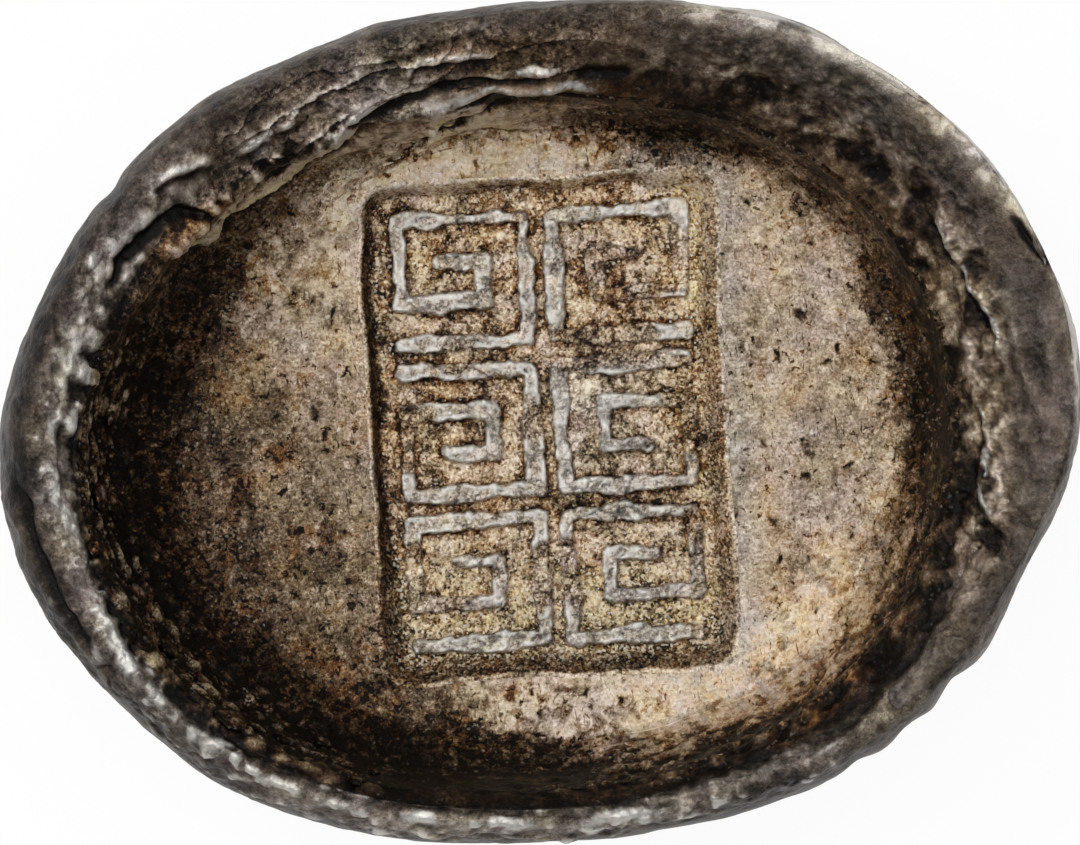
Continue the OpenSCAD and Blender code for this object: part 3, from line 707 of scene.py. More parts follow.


# %% Tarnish and painted light of the hollow
def hollow_tarnish_and_painted_light(p):
    """Tone, warmth and pale grains in the hollow: pale on the floor, brown where it meets the wall, black on
    the thin side, and mid brown below the laps at the top; painted shadow blackens the steep wall at the
    lower right, and a painted highlight pales the foot of the wall at the bottom right."""
    off = (p[:, :2] - FLOOR_MID) / (FLOOR / 2)
    way, reach = np.arctan2(off[:, 1], off[:, 0]), np.hypot(off[:, 0], off[:, 1])
    ragged, crisp = torn(p), torn(p, 0.3)
    # Black patches of painted shadow on the steep wall at the lower right.
    steep = soft_step(reach, 1.08, 1.19) * towards(way, 308, 42)
    steep *= 0.6 + 0.4 * soft_step(uneven(ragged, 2.6, 2, seed=78), -0.3, 0.2)
    # The brown begins further out towards the lower right, and further in elsewhere: angle, width, and shift.
    for angle, width, shift in ((300, 28, -0.15), (355, 24, 0.02), (66, 14, 0.1), (146, 18, 0.05)):
        reach = reach + shift * towards(way, angle, width)
    grains = uneven(p, 0.35, 2, seed=35)
    reach += 0.05 * uneven(p, 2.5, 3, seed=18) + 0.05 * uneven(p, 0.8, 3, seed=19) + 0.04 * grains
    # Tones from the floor to the wall: on the whole, on the thin side, below the laps, and at the right end.
    thin, top = soft_step(-np.cos(way - 25 * DEG), 0.1, 0.9), towards(way, 108, 42)
    tone = np.interp(reach, [0.75, 0.9, 0.98, 1.05, 1.12, 1.25], [0.82, 0.84, 0.8, 0.62, 0.32, 0.2])
    for share, places, tones in (
            (thin, [0.5, 0.7, 0.82, 0.95, 1.02, 1.1, 1.2], [0.76, 0.64, 0.61, 0.54, 0.41, 0.26, 0.12]),
            (top, [0.8, 0.97, 1.05, 1.15, 1.4], [0.84, 0.8, 0.64, 0.52, 0.46]),
            (towards(way, 355, 24), [0.9, 0.98, 1.04, 1.1], [0.84, 0.78, 0.34, 0.24])):
        tone += (np.interp(reach, places, tones) - tone) * share
    tone += 0.05 * towards(way, 138, 16) * (1 - soft_step(reach, 0.85, 0.98))
    # Pale flakes and grains where the tones change.
    change = np.interp(reach, [0.8, 0.95, 1.08, 1.25], [0, 1, 1, 0])
    tone += 0.3 * top * change * soft_step(uneven(crisp, 0.6, 3, seed=77), 0.2, 0.5)
    tone += 0.14 * change * grains
    # The painted shadow on the steep wall takes most of the tone away here.
    tone += 0.16 * towards(way, 38, 20) * soft_step(reach, 0.98, 1.08) - 0.85 * steep * tone
    # A painted highlight makes a pale crescent at the foot of the wall, bottom right, with a dark edge at its
    # end.
    tone += 0.2 * towards(way, 282, 27) * np.interp(reach, [0.74, 0.82, 0.93, 1.0], [0, 1, 1, 0])
    edge = np.interp(reach, [0.82, 0.87, 0.93, 1.0, 1.07, 1.14], [0, 1, 1, -1, -1, 0])
    tone += 0.14 * towards(way, 262, 13) * edge
    # Dark blotches up the wall.
    blotch = soft_step(uneven(ragged, 1.5, 3, seed=58), 0.0, 0.5)
    tone -= 0.16 * soft_step(reach, 1.05, 1.15) * blotch * (1 - top)
    # Rust at the lower right, in crumbs of its own.
    warm = np.interp(reach, [0.8, 1.0, 1.1, 1.25], [0.62, 0.68, 0.7, 0.55])
    rust = towards(way, 305, 24) * np.interp(reach, [0.76, 0.84, 0.98, 1.08], [0, 1, 1, 0])
    warm += 0.6 * rust * soft_step(uneven(crisp, 0.5, 3, seed=72), -0.5, 0.3)
    tone += rust * (0.2 - 0.3 * soft_step(uneven(crisp, 0.6, 3, seed=73), 0.0, 0.35))
    # Crumbs and pits where the floor turns up at the bottom.
    crumbly = soft_step(uneven(crisp, 0.6, 3, 0.6, seed=74), -0.2, 0.3) - 0.5
    tone += 0.36 * crumbly * towards(way, 275, 42) * np.interp(reach, [0.74, 0.84, 1.04, 1.14], [0, 1, 1, 0])
    gold = (0.04 + 0.07 * change) * soft_step(uneven(ragged, 1.8, 3, seed=64), -0.6, 0.6)
    return tone, warm, gold * (0.4 + 0.6 * soft_step(tone, 0.05, 0.35))


# %% Tarnish and painted light of the rim
RIM_PLACES = [0, 1, 1.6, 2.0, 2.6, 2.95, 3.1]


def tarnish(p, a, s, fine, broad, scraped):
    """Tone, warmth, wear and golden grains of the shell at points p, by where they are and how they stand,
    with painted shade in cracks and crevices and painted highlights on the thin crest and the upper right.
    """
    thin = soft_step(-np.cos(a - THICK_SIDE), -0.3, 0.45)
    end = skin_end(a) + 0.06 * uneven(p, 1.5, 3, seed=36)
    inside = soft_step(s, end, end + 0.22)
    calm, rim = calm_skin(a, s), band(s, 1.3, 3.0, 0.2)
    ragged = torn(p, 0.7)
    # The thick side is an even grey, and the thin side is dark outside and pale on its crest, where a
    # highlight is painted.
    rim_tone = (np.interp(s, RIM_PLACES, [0.44, 0.46, 0.5, 0.45, 0.42, 0.38, 0.3]) * (1 - thin)
                + np.interp(s - end, [-2.0, -1.4, -1.0, -0.7, -0.45, -0.15, 0.0],
                            [0.4, 0.26, 0.2, 0.32, 0.57, 0.61, 0.36]) * thin)
    rim_tone += (0.1 * towards(a, 186, 16) - 0.12 * towards(a, 220, 14)) * band(s, end - 0.7, end, 0.2)
    knots = arc(a, -38, 70, 16) * band(s, end - 0.4 + 0.28 * towards(a, 50, 28), end + 0.25)
    rim_warm = np.interp(s, RIM_PLACES, [0.22, 0.18, 0.1, 0.05, 0.08, 0.2, 0.4]) + 0.25 * knots
    tone, warm, gold = hollow_tarnish_and_painted_light(p)
    tone = rim_tone + (tone - rim_tone) * inside
    warm = rim_warm + (warm - rim_warm) * inside
    # The crevice at the foot of the skin's edge is darkened most, with painted shade; in some directions it is
    # shallow.
    crevice_shade = np.exp(-((s - end - 0.14) / 0.16) ** 2) * (0.6 + 0.6 * uneven(p, 2, 2, seed=60))
    for angle, width, loss in ((110, 40, 0.8), (35, 20, 0.5), (305, 24, 0.5)):
        crevice_shade = crevice_shade * (1 - loss * towards(a, angle, width))
    tone -= 0.3 * crevice_shade
    # The laps are greyer and stronger in contrast, and the knots are mottled.
    lapped = arc(a, 96, 168, 14) * band(s, 2.2, 3.7, 0.3)
    tone += 0.05 * lapped
    warm -= 0.3 * lapped * (1 - inside)
    tone += knots * (0.14 + 0.32 * uneven(ragged, 0.9, 3, seed=59)
                     - 0.35 * soft_step(uneven(ragged, 1.7, 3, seed=61), 0.1, 0.6))
    tone -= 0.06 * arc(a, 80, 130, 24) * band(s, 1.2, 2.6, 0.4)
    tone = np.maximum(tone, 0.06)
    tone -= 0.06 * calm + 0.06 * arc(a, 285, 335, 16) * band(s, 1.6, 2.6, 0.3)
    # Low places are dark, and cracks and the grooves behind the ridges darkest, as painted shade.
    mottled = 0.1 * (1 - 0.6 * calm) * uneven(p, 1.3, 3, seed=11)
    tone += (mottled + (1.2 + lapped) * fine + (0.25 + 0.5 * lapped) * broad) * (1 - soft_step(s, 3.6, 3.85))
    tone += 0.6 * np.minimum(scraped, 0)
    # Brown stains between the sheets, and a pale strip outside the crest at the upper right, a painted
    # highlight with some bare metal in it.
    top = arc(a, 74, 140, 14) * band(s, 2.2, 3.1, 0.3)
    warm += 0.4 * top + (0.08 + 0.12 * top) * uneven(p, 3, 2, seed=12)
    tone += 0.12 * top * soft_step(uneven(p, 2.2, 2, seed=20), 0.1, 0.6)
    edge = arc(a, -8, 70, 16) * band(s, 1.5, 1.98 + 0.16 * arc(a, 20, 75, 14), 0.2)
    edge *= 0.4 + 0.6 * soft_step(uneven(ragged, 1.4, 3, seed=10), -0.6, 0.4)
    # Handling bares the high spots, most of all on the thin side, and scrapes the ridges.
    high = fine + 0.2 * broad + 0.03 * uneven(p, 1.0, 2, seed=13)
    worn = soft_step(high, 0.05, 0.2) * (0.4 + 0.6 * rim) * (0.3 + 0.4 * thin * (1 - inside) - 0.05 * top)
    rubbed, below = np.clip(scraped, 0, 1), inside * (1 - top)
    worn = np.maximum(np.maximum(worn * (1 - 0.6 * calm), rubbed * (1 - 0.75 * below)), 0.45 * edge)
    # The pale strip's tone here is a painted highlight.
    tone += 0.6 * edge + rubbed * (0.5 * below + 0.3 * lapped)
    return tone, warm, worn, gold * inside + 0.03 + 0.5 * rubbed ** 2 * below


def marks_of(points, lift, scraped, a, s, reach, wrap):
    """The marks of a grid of points on the frozen surface, as grids."""
    fine, broad = standing(lift, reach, wrap), standing(lift, 4 * reach, wrap)
    values = tarnish(points.reshape(-1, 3), *(grid.ravel() for grid in (a, s, fine, broad, scraped)))
    return {mark: v.reshape(a.shape) for mark, v in zip(MARKS, values)}


shell_marks = marks_of(shell, shell_lift, shell_scraped, shell_a, shell_s, 5, True)
print("share of worn metal on the shell:", round(float((shell_marks["worn"] > 0.5).mean()), 3))

# %% The base
# Rings of points towards its middle, with gas pits pressed in, spread like seeds in a sunflower.
PIT_COUNT, PIT_D, SEED_TURN = 13, 2.6, 137.5
base_rows = 20
share = np.linspace(0, 1, base_rows, endpoint=False)[1:, None]
base_grid = np.concatenate([shell[0][None, :, :2] * share[..., None], np.zeros((base_rows - 1, COLS, 1))], -1)
flat = base_grid.reshape(-1, 3)
for k, r in enumerate(np.sqrt((np.arange(PIT_COUNT) + 0.5) / PIT_COUNT) * 0.4):
    x, y = BASE * r * [math.cos(k * SEED_TURN * DEG), math.sin(k * SEED_TURN * DEG)]
    d = PIT_D * (0.6 + 0.4 * abs(math.sin(k * 73 * DEG)))
    rise = np.sqrt(np.clip((d / 2) ** 2 - (flat[:, 0] - x) ** 2 - (flat[:, 1] - y) ** 2, 0, None)) - 0.2 * d
    flat[:, 2] = np.maximum(flat[:, 2], rise)
pitted = flat[:, 2].copy()
flat[:, 2] += 0.08 * np.abs(uneven(flat, 2.5, 3, seed=14)) * np.repeat(1 - share[:, 0] ** 8, COLS)
base_tone = 0.5 + 0.1 * uneven(flat, 2.2, 3, seed=15) - 0.35 * soft_step(pitted, 0.05, 0.5)
base_marks = {"tone": base_tone, "warm": 0.35 + 0 * base_tone, "worn": 0.25 * (pitted < 0.02),
              "gold": 0 * base_tone}
print("gas pits in the base:", PIT_COUNT, "deepest, mm:", pitted.max().round(2))

# %% Cut the shell into outside, crest and inner wall
cut_1, cut_2 = ROWS[0], ROWS[0] + ROWS[1]
ring = np.arange(COLS)
outside_grid = np.concatenate([base_grid, shell[:cut_1 + 1]])
rows = len(outside_grid)
middle = np.array([[0.0, 0.0, 0.05]])
fan = np.stack([np.full(COLS, rows * COLS), np.roll(ring, -1), ring], -1)
outside_marks = {m: np.concatenate([base_marks[m], shell_marks[m][:cut_1 + 1].ravel(), base_marks[m][:1]])
                 for m in MARKS}
add_piece("shell_outside", np.concatenate([outside_grid.reshape(-1, 3), middle]),
          [grid_faces(rows, COLS, True), fan], outside_marks, mould_silver, ["chilled_shell"])
add_piece("shell_crest", shell[cut_1:cut_2 + 1].reshape(-1, 3), [grid_faces(ROWS[1] + 1, COLS, True)],
          {m: v[cut_1:cut_2 + 1] for m, v in shell_marks.items()}, mould_silver, ["chilled_shell"])
rows = len(shell) - cut_2
bed = np.concatenate([FLOOR_MID, [shell[-1, :, 2].mean()]])[None]
last = (rows - 1) * COLS + ring
fan = np.stack([np.full(COLS, rows * COLS), last, np.roll(last, -1)], -1)
add_piece("shell_wall", np.concatenate([shell[cut_2:].reshape(-1, 3), bed]),
          [grid_faces(rows, COLS, True), fan],
          {m: np.append(v[cut_2:].ravel(), 0.2) for m, v in shell_marks.items()}, pool_silver,
          ["chilled_shell"])

# %% [markdown]
# ## The floor
# The pool froze level, with a slight dish towards the wall. A grid of rings would crowd its points in the
# middle, so a square grid is bent into a disc instead, which keeps all faces about the same size. Where
# the stamp sank, the floor makes room for the panel, which is a finer piece of its own.

# %% Heights of the floor
PANEL, PANEL_R, PANEL_DEPTH = np.array([19.0, 26.6]), 1.6, 0.9
PANEL_MID, PANEL_TURN = np.array([0.4, -0.3]), -4 * DEG
TURN_COS, TURN_SIN = math.cos(PANEL_TURN), math.sin(PANEL_TURN)


def to_panel(xy):
    """Places on the floor as seen from the panel's middle, along its sides."""
    x, y = (xy - PANEL_MID).T
    return np.stack([TURN_COS * x + TURN_SIN * y, TURN_COS * y - TURN_SIN * x], -1)


def from_panel(q):
    """Places on the floor for places in the panel."""
    x, y = q.T
    return PANEL_MID + np.stack([TURN_COS * x - TURN_SIN * y, TURN_SIN * x + TURN_COS * y], -1)


def panel_edge(q):
    """Distance outside the panel's edge in mm, negative inside; the hand-cut stamp has a wavy edge."""
    p = np.column_stack([q, np.zeros(len(q))])
    q = q + 0.18 * np.stack([uneven(p, 3, 2, seed=21), uneven(p, 3, 2, seed=22)], -1)
    over = np.abs(q) - PANEL / 2 + PANEL_R
    return np.hypot(*np.maximum(over, 0).T) + np.minimum(over.max(1), 0) - PANEL_R


def floor_reach(xy):
    """0 in the middle of the floor, 1 at the foot of the wall."""
    off = (xy - FLOOR_MID) / (FLOOR / 2)
    return np.hypot(off[:, 0], off[:, 1])


def floor_height(xy):
    """Height of the floor in mm, with low waves, small gas holes, and grit towards the wall."""
    p = np.column_stack([xy, np.zeros(len(xy))])
    r = floor_reach(xy)
    z = FLOOR_Z + FLOOR_RISE * soft_step(r, 0.86, 1.0)
    z += 0.07 * uneven(p, 4, 2, seed=23) + 0.035 * uneven(p, 0.9, 3, seed=24)
    near, _, tag = scattered(p, 1.7, seed=2)
    z -= 0.16 * np.exp(-(near / 0.2) ** 2) * (tag > 0.45)
    return z + 0.06 * soft_step(r, 0.8, 0.97) * uneven(p, 0.5, 3, seed=25)


# %% Tarnish and painted light of the floor
def floor_marks(p, dp, fine):
    """Tone, warmth, wear and golden grains of the floor at points p, dp mm outside the panel, with painted
    highlights towards the bottom and above the panel.
    """
    tone, warm, gold = hollow_tarnish_and_painted_light(p)
    crisp = torn(p, 0.3)
    left = soft_step(-p[:, 0], 6, 14)
    free = 1 - soft_step(floor_reach(p[:, :2]), 0.9, 1.0)
    # Towards the bottom the floor is painted paler, a painted highlight.
    tone += (0.06 * uneven(p, 1.3, 4, seed=32) + 0.8 * fine + 0.11 * soft_step(-p[:, 1], 10, 14)) * free
    # Brown stains, most at the left, dark spots, and a band of dark pits below the panel.
    tone -= free * (0.1 + 0.08 * left) * soft_step(uneven(p, 2.4, 4, 0.6, seed=33), 0.1, 0.5)
    near, _, tag = scattered(crisp, 0.95, seed=3)
    tone -= 0.55 * (1 - soft_step(near, 0.08, 0.12 + 0.3 * tag ** 2)) * (tag > 0.3)
    pitted = np.exp(-((p[:, 0] + 0.5) / 4) ** 2 - ((p[:, 1] + 15.0 + 0.05 * p[:, 0]) / 0.9) ** 2)
    tone -= 0.5 * pitted * soft_step(uneven(crisp, 0.6, 3, seed=63), 0.1, 0.35)
    # Orange specks above the panel.
    specks = soft_step(uneven(crisp, 0.5, 3, seed=76), 0.1, 0.4) * soft_step(p[:, 1], 12, 14)
    tone -= 0.16 * specks
    # The edge that the stamp pushed up is rubbed grey at the right; at the top it is a pale band, a painted
    # highlight with some bare metal in it.
    beside = np.exp(-((dp - 0.6) / 0.9) ** 2) * soft_step(p[:, 0], 4, 8)
    above = np.exp(-((dp - 0.8) / 0.8) ** 2) * soft_step(p[:, 1], 11.5, 13) * (1 - soft_step(p[:, 0], 2, 6))
    above *= soft_step(uneven(torn(p), 1.2, 3, seed=39), -0.7, 0.2)
    warm += 0.2 * uneven(p, 2, 2, seed=34) - 0.3 * beside + 0.4 * specks
    worn = 0.2 * free * soft_step(fine, 0.01, 0.05) + 0.12 * beside + 0.45 * above
    # The pale band above the panel is a painted highlight.
    return tone + 0.05 * beside + 0.8 * above, warm, worn, gold


def add_block(name, top, marks, shrink, bottom, finish):
    """A piece of the pool: a grid of points with a skirt down to a flat bottom."""
    rows, cols = top.shape[:2]
    edge = rim_of(rows, cols)
    skirt = top.reshape(-1, 3)[edge] * [shrink, shrink, 0] + [0, 0, bottom]
    low = rows * cols + np.arange(len(edge))
    add_piece(name, np.concatenate([top.reshape(-1, 3), skirt]),
              [grid_faces(rows, cols, False), strip(edge, low), low[::-1][None]],
              {mark: np.append(values, np.full(len(edge), 0.3)) for mark, values in zip(MARKS, marks)},
              finish, ["floor_pool"])


# %% Build the floor
# Its outer ring climbs the foot of the wall a little and lies on it, so that no joint shows.
N = 300
CLIMB_FROM, CLIMB, COVER = 0.955, 0.2, 0.02
u, v = np.meshgrid(np.linspace(-1, 1, N), np.linspace(-1, 1, N))
disc = np.stack([u * np.sqrt(1 - v * v / 2), v * np.sqrt(1 - u * u / 2)], -1).reshape(-1, 2)
angle, radius = np.arctan2(disc[:, 1], disc[:, 0]), np.hypot(disc[:, 0], disc[:, 1]) / CLIMB_FROM
floor_xy = FLOOR_MID + (wavy(angle) - WAVE_MID) / WAVE_SPAN * FLOOR / 2 * np.minimum(radius, 1)[:, None]
foot_lift = frozen(angle, np.full(N * N, 4.0))[2]
meets = soft_step(radius, 0.9, 1.0)
level = FLOOR_Z + FLOOR_RISE * soft_step(radius, 0.86, 1.0)
z = level + (floor_height(floor_xy) - level) * (1 - meets) + foot_lift * meets + COVER
floor_top = np.column_stack([floor_xy, z])
outer = radius > 1
climb, climb_out, _, _ = frozen(angle[outer], 4 - CLIMB * (radius[outer] - 1) / (1 / CLIMB_FROM - 1))
floor_top[outer] = climb + COVER * climb_out
dp = panel_edge(to_panel(floor_xy))
marks = floor_marks(floor_top, dp, standing(floor_top[:, 2].reshape(N, N), 3).ravel())
# Make room for the panel.
floor_top[:, 2] -= 0.02 + 0.02 * (1 - soft_step(dp, 0.4, 0.5)) + 1.4 * (1 - soft_step(dp, -0.2, 0.1))
add_block("pool_floor", floor_top.reshape(N, N, 3), marks, 0.93, 6.2, pool_silver)

# %% [markdown]
# ## The stamped panel
# The stamp was a block with a pattern cut into its face. It sank into the soft silver, pushed up a low lip
# around itself, and left the pattern standing. The pattern here is a fret of six square spirals, a common
# ornament. Its lines have flat worn tops, and vary in width and height because the stamp was cut by hand
# and struck by hand.

# %% The lines of the fret
SPIRAL = np.array([[3, -3], [-3, -3], [-3, 3], [3, 3], [3, -1], [-1, -1], [-1, 1], [1, 1]], float)
LINE, LINE_H, MARGIN = 1.0, 0.5, 1.2
CELL = (PANEL - 2 * MARGIN) / [2, 3]
PITCH = (CELL - 1.5 * LINE) / 6
STROKES = []
for column in (-1, 1):
    for row in (-1, 0, 1):
        path = SPIRAL * PITCH * [column, -1 if row == 0 else 1] + CELL * [column / 2, row]
        STROKES += list(zip(path[:-1], path[1:]))


def from_fret(q):
    """Distance in mm from the nearest line of the fret."""
    best = np.full(len(q), 99.0)
    for start, end in STROKES:
        way = end - start
        t = np.clip((q - start) @ way / (way @ way), 0, 1)
        best = np.minimum(best, np.hypot(*(q - start - t[:, None] * way).T))
    return best


print("fret lines:", len(STROKES))

# %% Heights of the panel
PX, PY = ((252, 352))
OVERLAP = 0.6
qx, qy = np.meshgrid(*(np.linspace(-1, 1, n) * (side / 2 + OVERLAP) for n, side in zip((PX, PY), PANEL)))
q = np.column_stack([qx.ravel(), qy.ravel()])
xy = from_panel(q)
p = np.column_stack([xy, np.zeros(len(xy))])
dp = panel_edge(q)
# The right and bottom walls of the print are softer than the left and top ones.
right, upper, lower = soft_step(q[:, 0], 5, 9), soft_step(q[:, 1], 3, 9), soft_step(-q[:, 1], 4, 10)
soft = 0.6 + 0.8 * np.maximum(right, lower) + 0.2 * uneven(p, 2.5, 2, seed=40)
sunk = soft_step(-dp, -0.1, soft)
# Right of the middle the print is worn shallow, and below that the metal has flaked.
worn_patch = np.exp(-((q[:, 0] - 2.2) / 2.6) ** 2 - ((q[:, 1] - 0.5) / 3.6) ** 2)
flaky = np.exp(-((q[:, 0] - 2.6) / 2.2) ** 2 - ((q[:, 1] + 4.6) / 2.6) ** 2)
depth = PANEL_DEPTH * (1 - 0.3 * worn_patch) + 0.06 * uneven(p, 3, 2, seed=41)
# Lines with uneven sides and tops, faint in places.
line = from_fret(q + 0.12 * np.stack([uneven(p, 1.5, 3, seed=42), uneven(p, 1.5, 3, seed=43)], -1))
half = LINE / 2 * (0.85 + 0.32 * uneven(p, 2.2, 2, seed=44) + 0.16 * uneven(p, 0.5, 2, seed=49))
faint = soft_step(uneven(p, 4, 2, seed=50), 0.1, 0.6)
stroke = 1 - soft_step(line, half - 0.07, half + 0.06)
high = LINE_H * (0.85 + 0.3 * uneven(p, 1.2, 3, seed=45) + 0.15 * uneven(p, 0.45, 2, seed=65))
high = high * (1 - 0.55 * worn_patch) * (1 - 0.5 * faint)
plates = np.column_stack([xy * [1, 1.3], 0 * xy[:, 0]]) + 0.3 * uneven(p, 0.8, 2, seed=54)[:, None]
cracks = scattered(plates, 1.1, seed=5)
flake = 1 - soft_step(cracks[1] - cracks[0], 0.02, 0.16)
grain = 0.06 * uneven(p, 0.42, 3, 0.6, seed=46) * (1 - 0.7 * worn_patch)
z = floor_height(xy) - sunk * depth + sunk * stroke * high
z += grain * sunk * (1 - 0.6 * stroke) - 0.12 * flake * flaky * sunk
z -= 0.08 * soft_step(dp, 0.0, 0.6)
panel_top = np.column_stack([xy, z]).reshape(PY, PX, 3)
print("panel heights, mm:", z.min().round(2), "to", z.max().round(2))

# %% Tarnish and painted light of the panel
fine = standing(panel_top[..., 2], 3).ravel()
beside_line = np.exp(-np.maximum(line - half, 0) / 0.35) * soft_step(uneven(p, 1.4, 3, seed=55), -0.5, 0.3)
blotch = soft_step(uneven(p, 0.9, 4, 0.65, seed=51), -0.1, 0.35)
# The ground is blotched, dark beside the lines and at the left, and paler at the upper right and where worn.
ground = 0.86 - 0.3 * blotch * (1 - 0.4 * lower - 0.4 * upper * right)
ground -= 0.36 * beside_line * (1 - 0.5 * lower)
ground -= 0.14 * soft_step(-q[:, 0], 7.2, 9)
ground += 0.12 * uneven(p, 0.3, 2, seed=57) + 0.8 * fine
ground += 0.12 * upper * right + 0.14 * worn_patch - 0.04 * lower * (1 - 0.6 * right)
# The tops of the lines are paler, in plates that differ a little.
top_tone = 0.82 + 0.16 * uneven(p, 0.7, 3, seed=52) + 0.14 * cracks[2] - 0.25 * flake - 0.12 * faint
top_tone += 0.2 * upper * right
tone = ground + (top_tone - ground) * stroke
# Dark walls of the print, thin at the left, broad at the right and the bottom, and none at the top: tarnish
# with painted shade.
slope = soft_step(-dp, -0.05, 0.15) * (1 - soft_step(-dp, 0.5 * soft, soft + 0.3))
slope *= 1 - soft_step(q[:, 1], 10.5, 12.5)
wall_shade_tone = 0.24 + 0.22 * np.maximum(right, 0.7 * lower)
tone += slope * (wall_shade_tone - tone) * (1 - 0.7 * stroke) * (0.95 - 0.35 * right)
tone -= 0.3 * flake * flaky
rusty_line = 0.24 * beside_line * (1 - lower) + 0.1 * blotch * upper
warm = 0.74 + rusty_line - (0.45 * stroke * (1 - 0.5 * faint) + 0.3 * worn_patch) * sunk
warm += 0.1 * uneven(p, 1.5, 2, seed=53)
edge_lit = soft_step(fine, 0.01, 0.09) * soft_step(uneven(p, 0.6, 2, seed=56), -0.4, 0.4)
worn = stroke * sunk * (0.42 + 0.2 * upper * right + 0.5 * edge_lit) * (1 - 0.6 * faint) + 0.1 * worn_patch
gold = 0.14 + 0.08 * upper + 0.28 * np.maximum(lower, 0.7 * right) + 0.15 * upper * right
gold = gold * sunk * (1 - stroke) * (1 - 0.6 * worn_patch)
outside = 1 - soft_step(-dp, -0.1, 0.12)
marks = [own + outside * (theirs - own)
         for own, theirs in zip((tone, warm, worn, gold), floor_marks(p, dp, fine))]
add_block("stamped_panel", panel_top, marks, 1, 6.3, stamped_silver)

# %% [markdown]
# ## Skins, laps and strata
# Sheets of half-frozen silver slid over the rim and stopped without welding. Each is a tongue on the
# frozen surface: a part of the section's grid, lifted by a thickness that grows towards its inner edge and
# then rolls over. Its edges dip just under the shell, so that the line where it ends is wavy and no gap
# shows.

# %% Helper for a tongue of metal
DIP, ROOT = 0.1, 0.35


def add_tongue(name, a_span, s_span, full, finish, rough, grid, seed, lean=1.0, sheets=0.0,
               inner_end=None, taper=0.35, shine=0.7):
    """A closed tongue between two angles in degrees and two places along the section, full mm thick. A larger
    lean moves its thickest line inwards, rough is the height of its lumps and sheets that of the sheets on
    it in mm, inner_end is a function for an inner edge that isn't at one place, a larger taper makes its
    ends thinner, and shine is the share of its bare metal that shows."""
    cols, rows = grid
    u, v = np.meshgrid(np.linspace(0, 1, cols), np.linspace(0, 1, rows))
    a = (a_span[0] + (a_span[1] - a_span[0]) * u) * DEG
    last = inner_end(a) if inner_end else s_span[1]
    s = s_span[0] + (last - s_span[0]) * v
    ground, out, base_lift, scraped = frozen(a, s)
    p = ground.reshape(-1, 3)
    ragged, lumps = (uneven(p, size, 3, seed=k).reshape(u.shape)
                     for size, k in ((2.2, seed), (1.1, seed + 1)))
    ends = np.sin(math.pi * np.clip(u + 0.03 * ragged, 0, 1)) ** taper
    across = np.sin(math.pi * np.clip(v + 0.06 * ragged, 0, 1) ** lean) ** 0.6
    lift = full * ends * across * (0.85 + 0.3 * ragged) + rough * lumps * ends * across
    if sheets:
        bent = 0.8 * uneven(p, 4, 2, seed=seed + 2) + 0.25 * uneven(p, 1.2, 2, seed=seed + 3)
        k = v * 3.2 + bent.reshape(u.shape)
        lift += sheets * ((k - np.floor(k)) ** 1.4 - 0.5) * ends * across
    top = ground + out * (lift - DIP)[..., None]
    marks = marks_of(top, base_lift + lift, scraped, a, s, 4, False)
    # The rolled inner edge is dark where it dips into the crevice: painted shade.
    dip_shade = soft_step(v, 0.92, 1.0)
    marks["worn"] = marks["worn"] * shine * (1 - dip_shade)
    marks["tone"] = marks["tone"] - 0.3 * dip_shade
    points, faces = closed_sheet(top, ground - out * ROOT, False)
    doubled = {m: np.tile(val.ravel(), 2) for m, val in marks.items()}
    add_piece(name, points, faces, doubled, finish, [name])


# %% Build the tongues
add_tongue("grey_skin", (-54, 72), (1.95, 3.02), 0.4, skin_silver, rough=0.08,
           grid=(620, 76), seed=61, inner_end=skin_end)
add_tongue("top_strata", (74, 130), (1.9, 2.85), 0.3, strata_silver, lean=1.3, rough=0.1,
           grid=(420, 76), sheets=0.14, seed=65, taper=0.6)
add_tongue("main_lap", (97, 159), (2.7, 3.22), 0.5, lap_silver, lean=1.6, rough=0.2,
           grid=(320, 50), seed=70, shine=0.9)
add_tongue("second_lap", (79, 125), (3.2, 3.62), 0.45, lap_silver, lean=1.6, rough=0.15,
           grid=(260, 40), seed=75, taper=0.9)
add_tongue("outer_skin", (175, 215), (1.2, 1.8), 0.4, skin_silver, rough=0.08,
           grid=(240, 50), seed=80)

# %% [markdown]
# ## The crust
# Silver sulphide and dirt have built up in the foot of the wall, where nothing rubs. It is a dull, dark
# ring with a ragged edge, thick on the thin side of the rim and broken into patches on the thick side. It
# takes its tone from the wall around it, so that only its lumps and its edge set it off.

# %% Build the crust
crust_rows = 38
v = np.linspace(0, 1, crust_rows)[:, None]
crust_a = np.repeat(around[None], crust_rows, 0)
crust_s = 3.42 + (0.48 - 0.24 * towards(crust_a, 298, 38)) * v
ground, out, base_lift, _ = frozen(crust_a, crust_s)
p = ground.reshape(-1, 3)
thin = soft_step(-np.cos(crust_a - THICK_SIDE), -0.4, 0.5)
ragged, lumps, wiggle = (uneven(torn(p), size, 3, 0.6, seed=k).reshape(crust_a.shape)
                         for size, k in ((1.6, 85), (1.0, 87), (1.8, 88)))
across = np.sin(math.pi * np.clip(v + 0.16 * wiggle, 0, 1)) ** 0.6 * soft_step(v, 0, 0.12)
across *= soft_step(1 - v, 0, 0.12)
lift = (0.04 + 0.3 * thin * (1 - 0.9 * towards(crust_a, 304, 42)) + 0.22 * ragged) * across
crust_top = ground + out * (lift - 0.08)[..., None]
fine = standing(base_lift + lift, 4, True)
tone, warm, gold = (mark.reshape(crust_a.shape) for mark in hollow_tarnish_and_painted_light(p))
tone = np.maximum(tone, 0.06) + 0.7 * fine + 0.26 * soft_step(lumps, 0.1, 0.5) * soft_step(0.3 - tone, 0, 0.2)
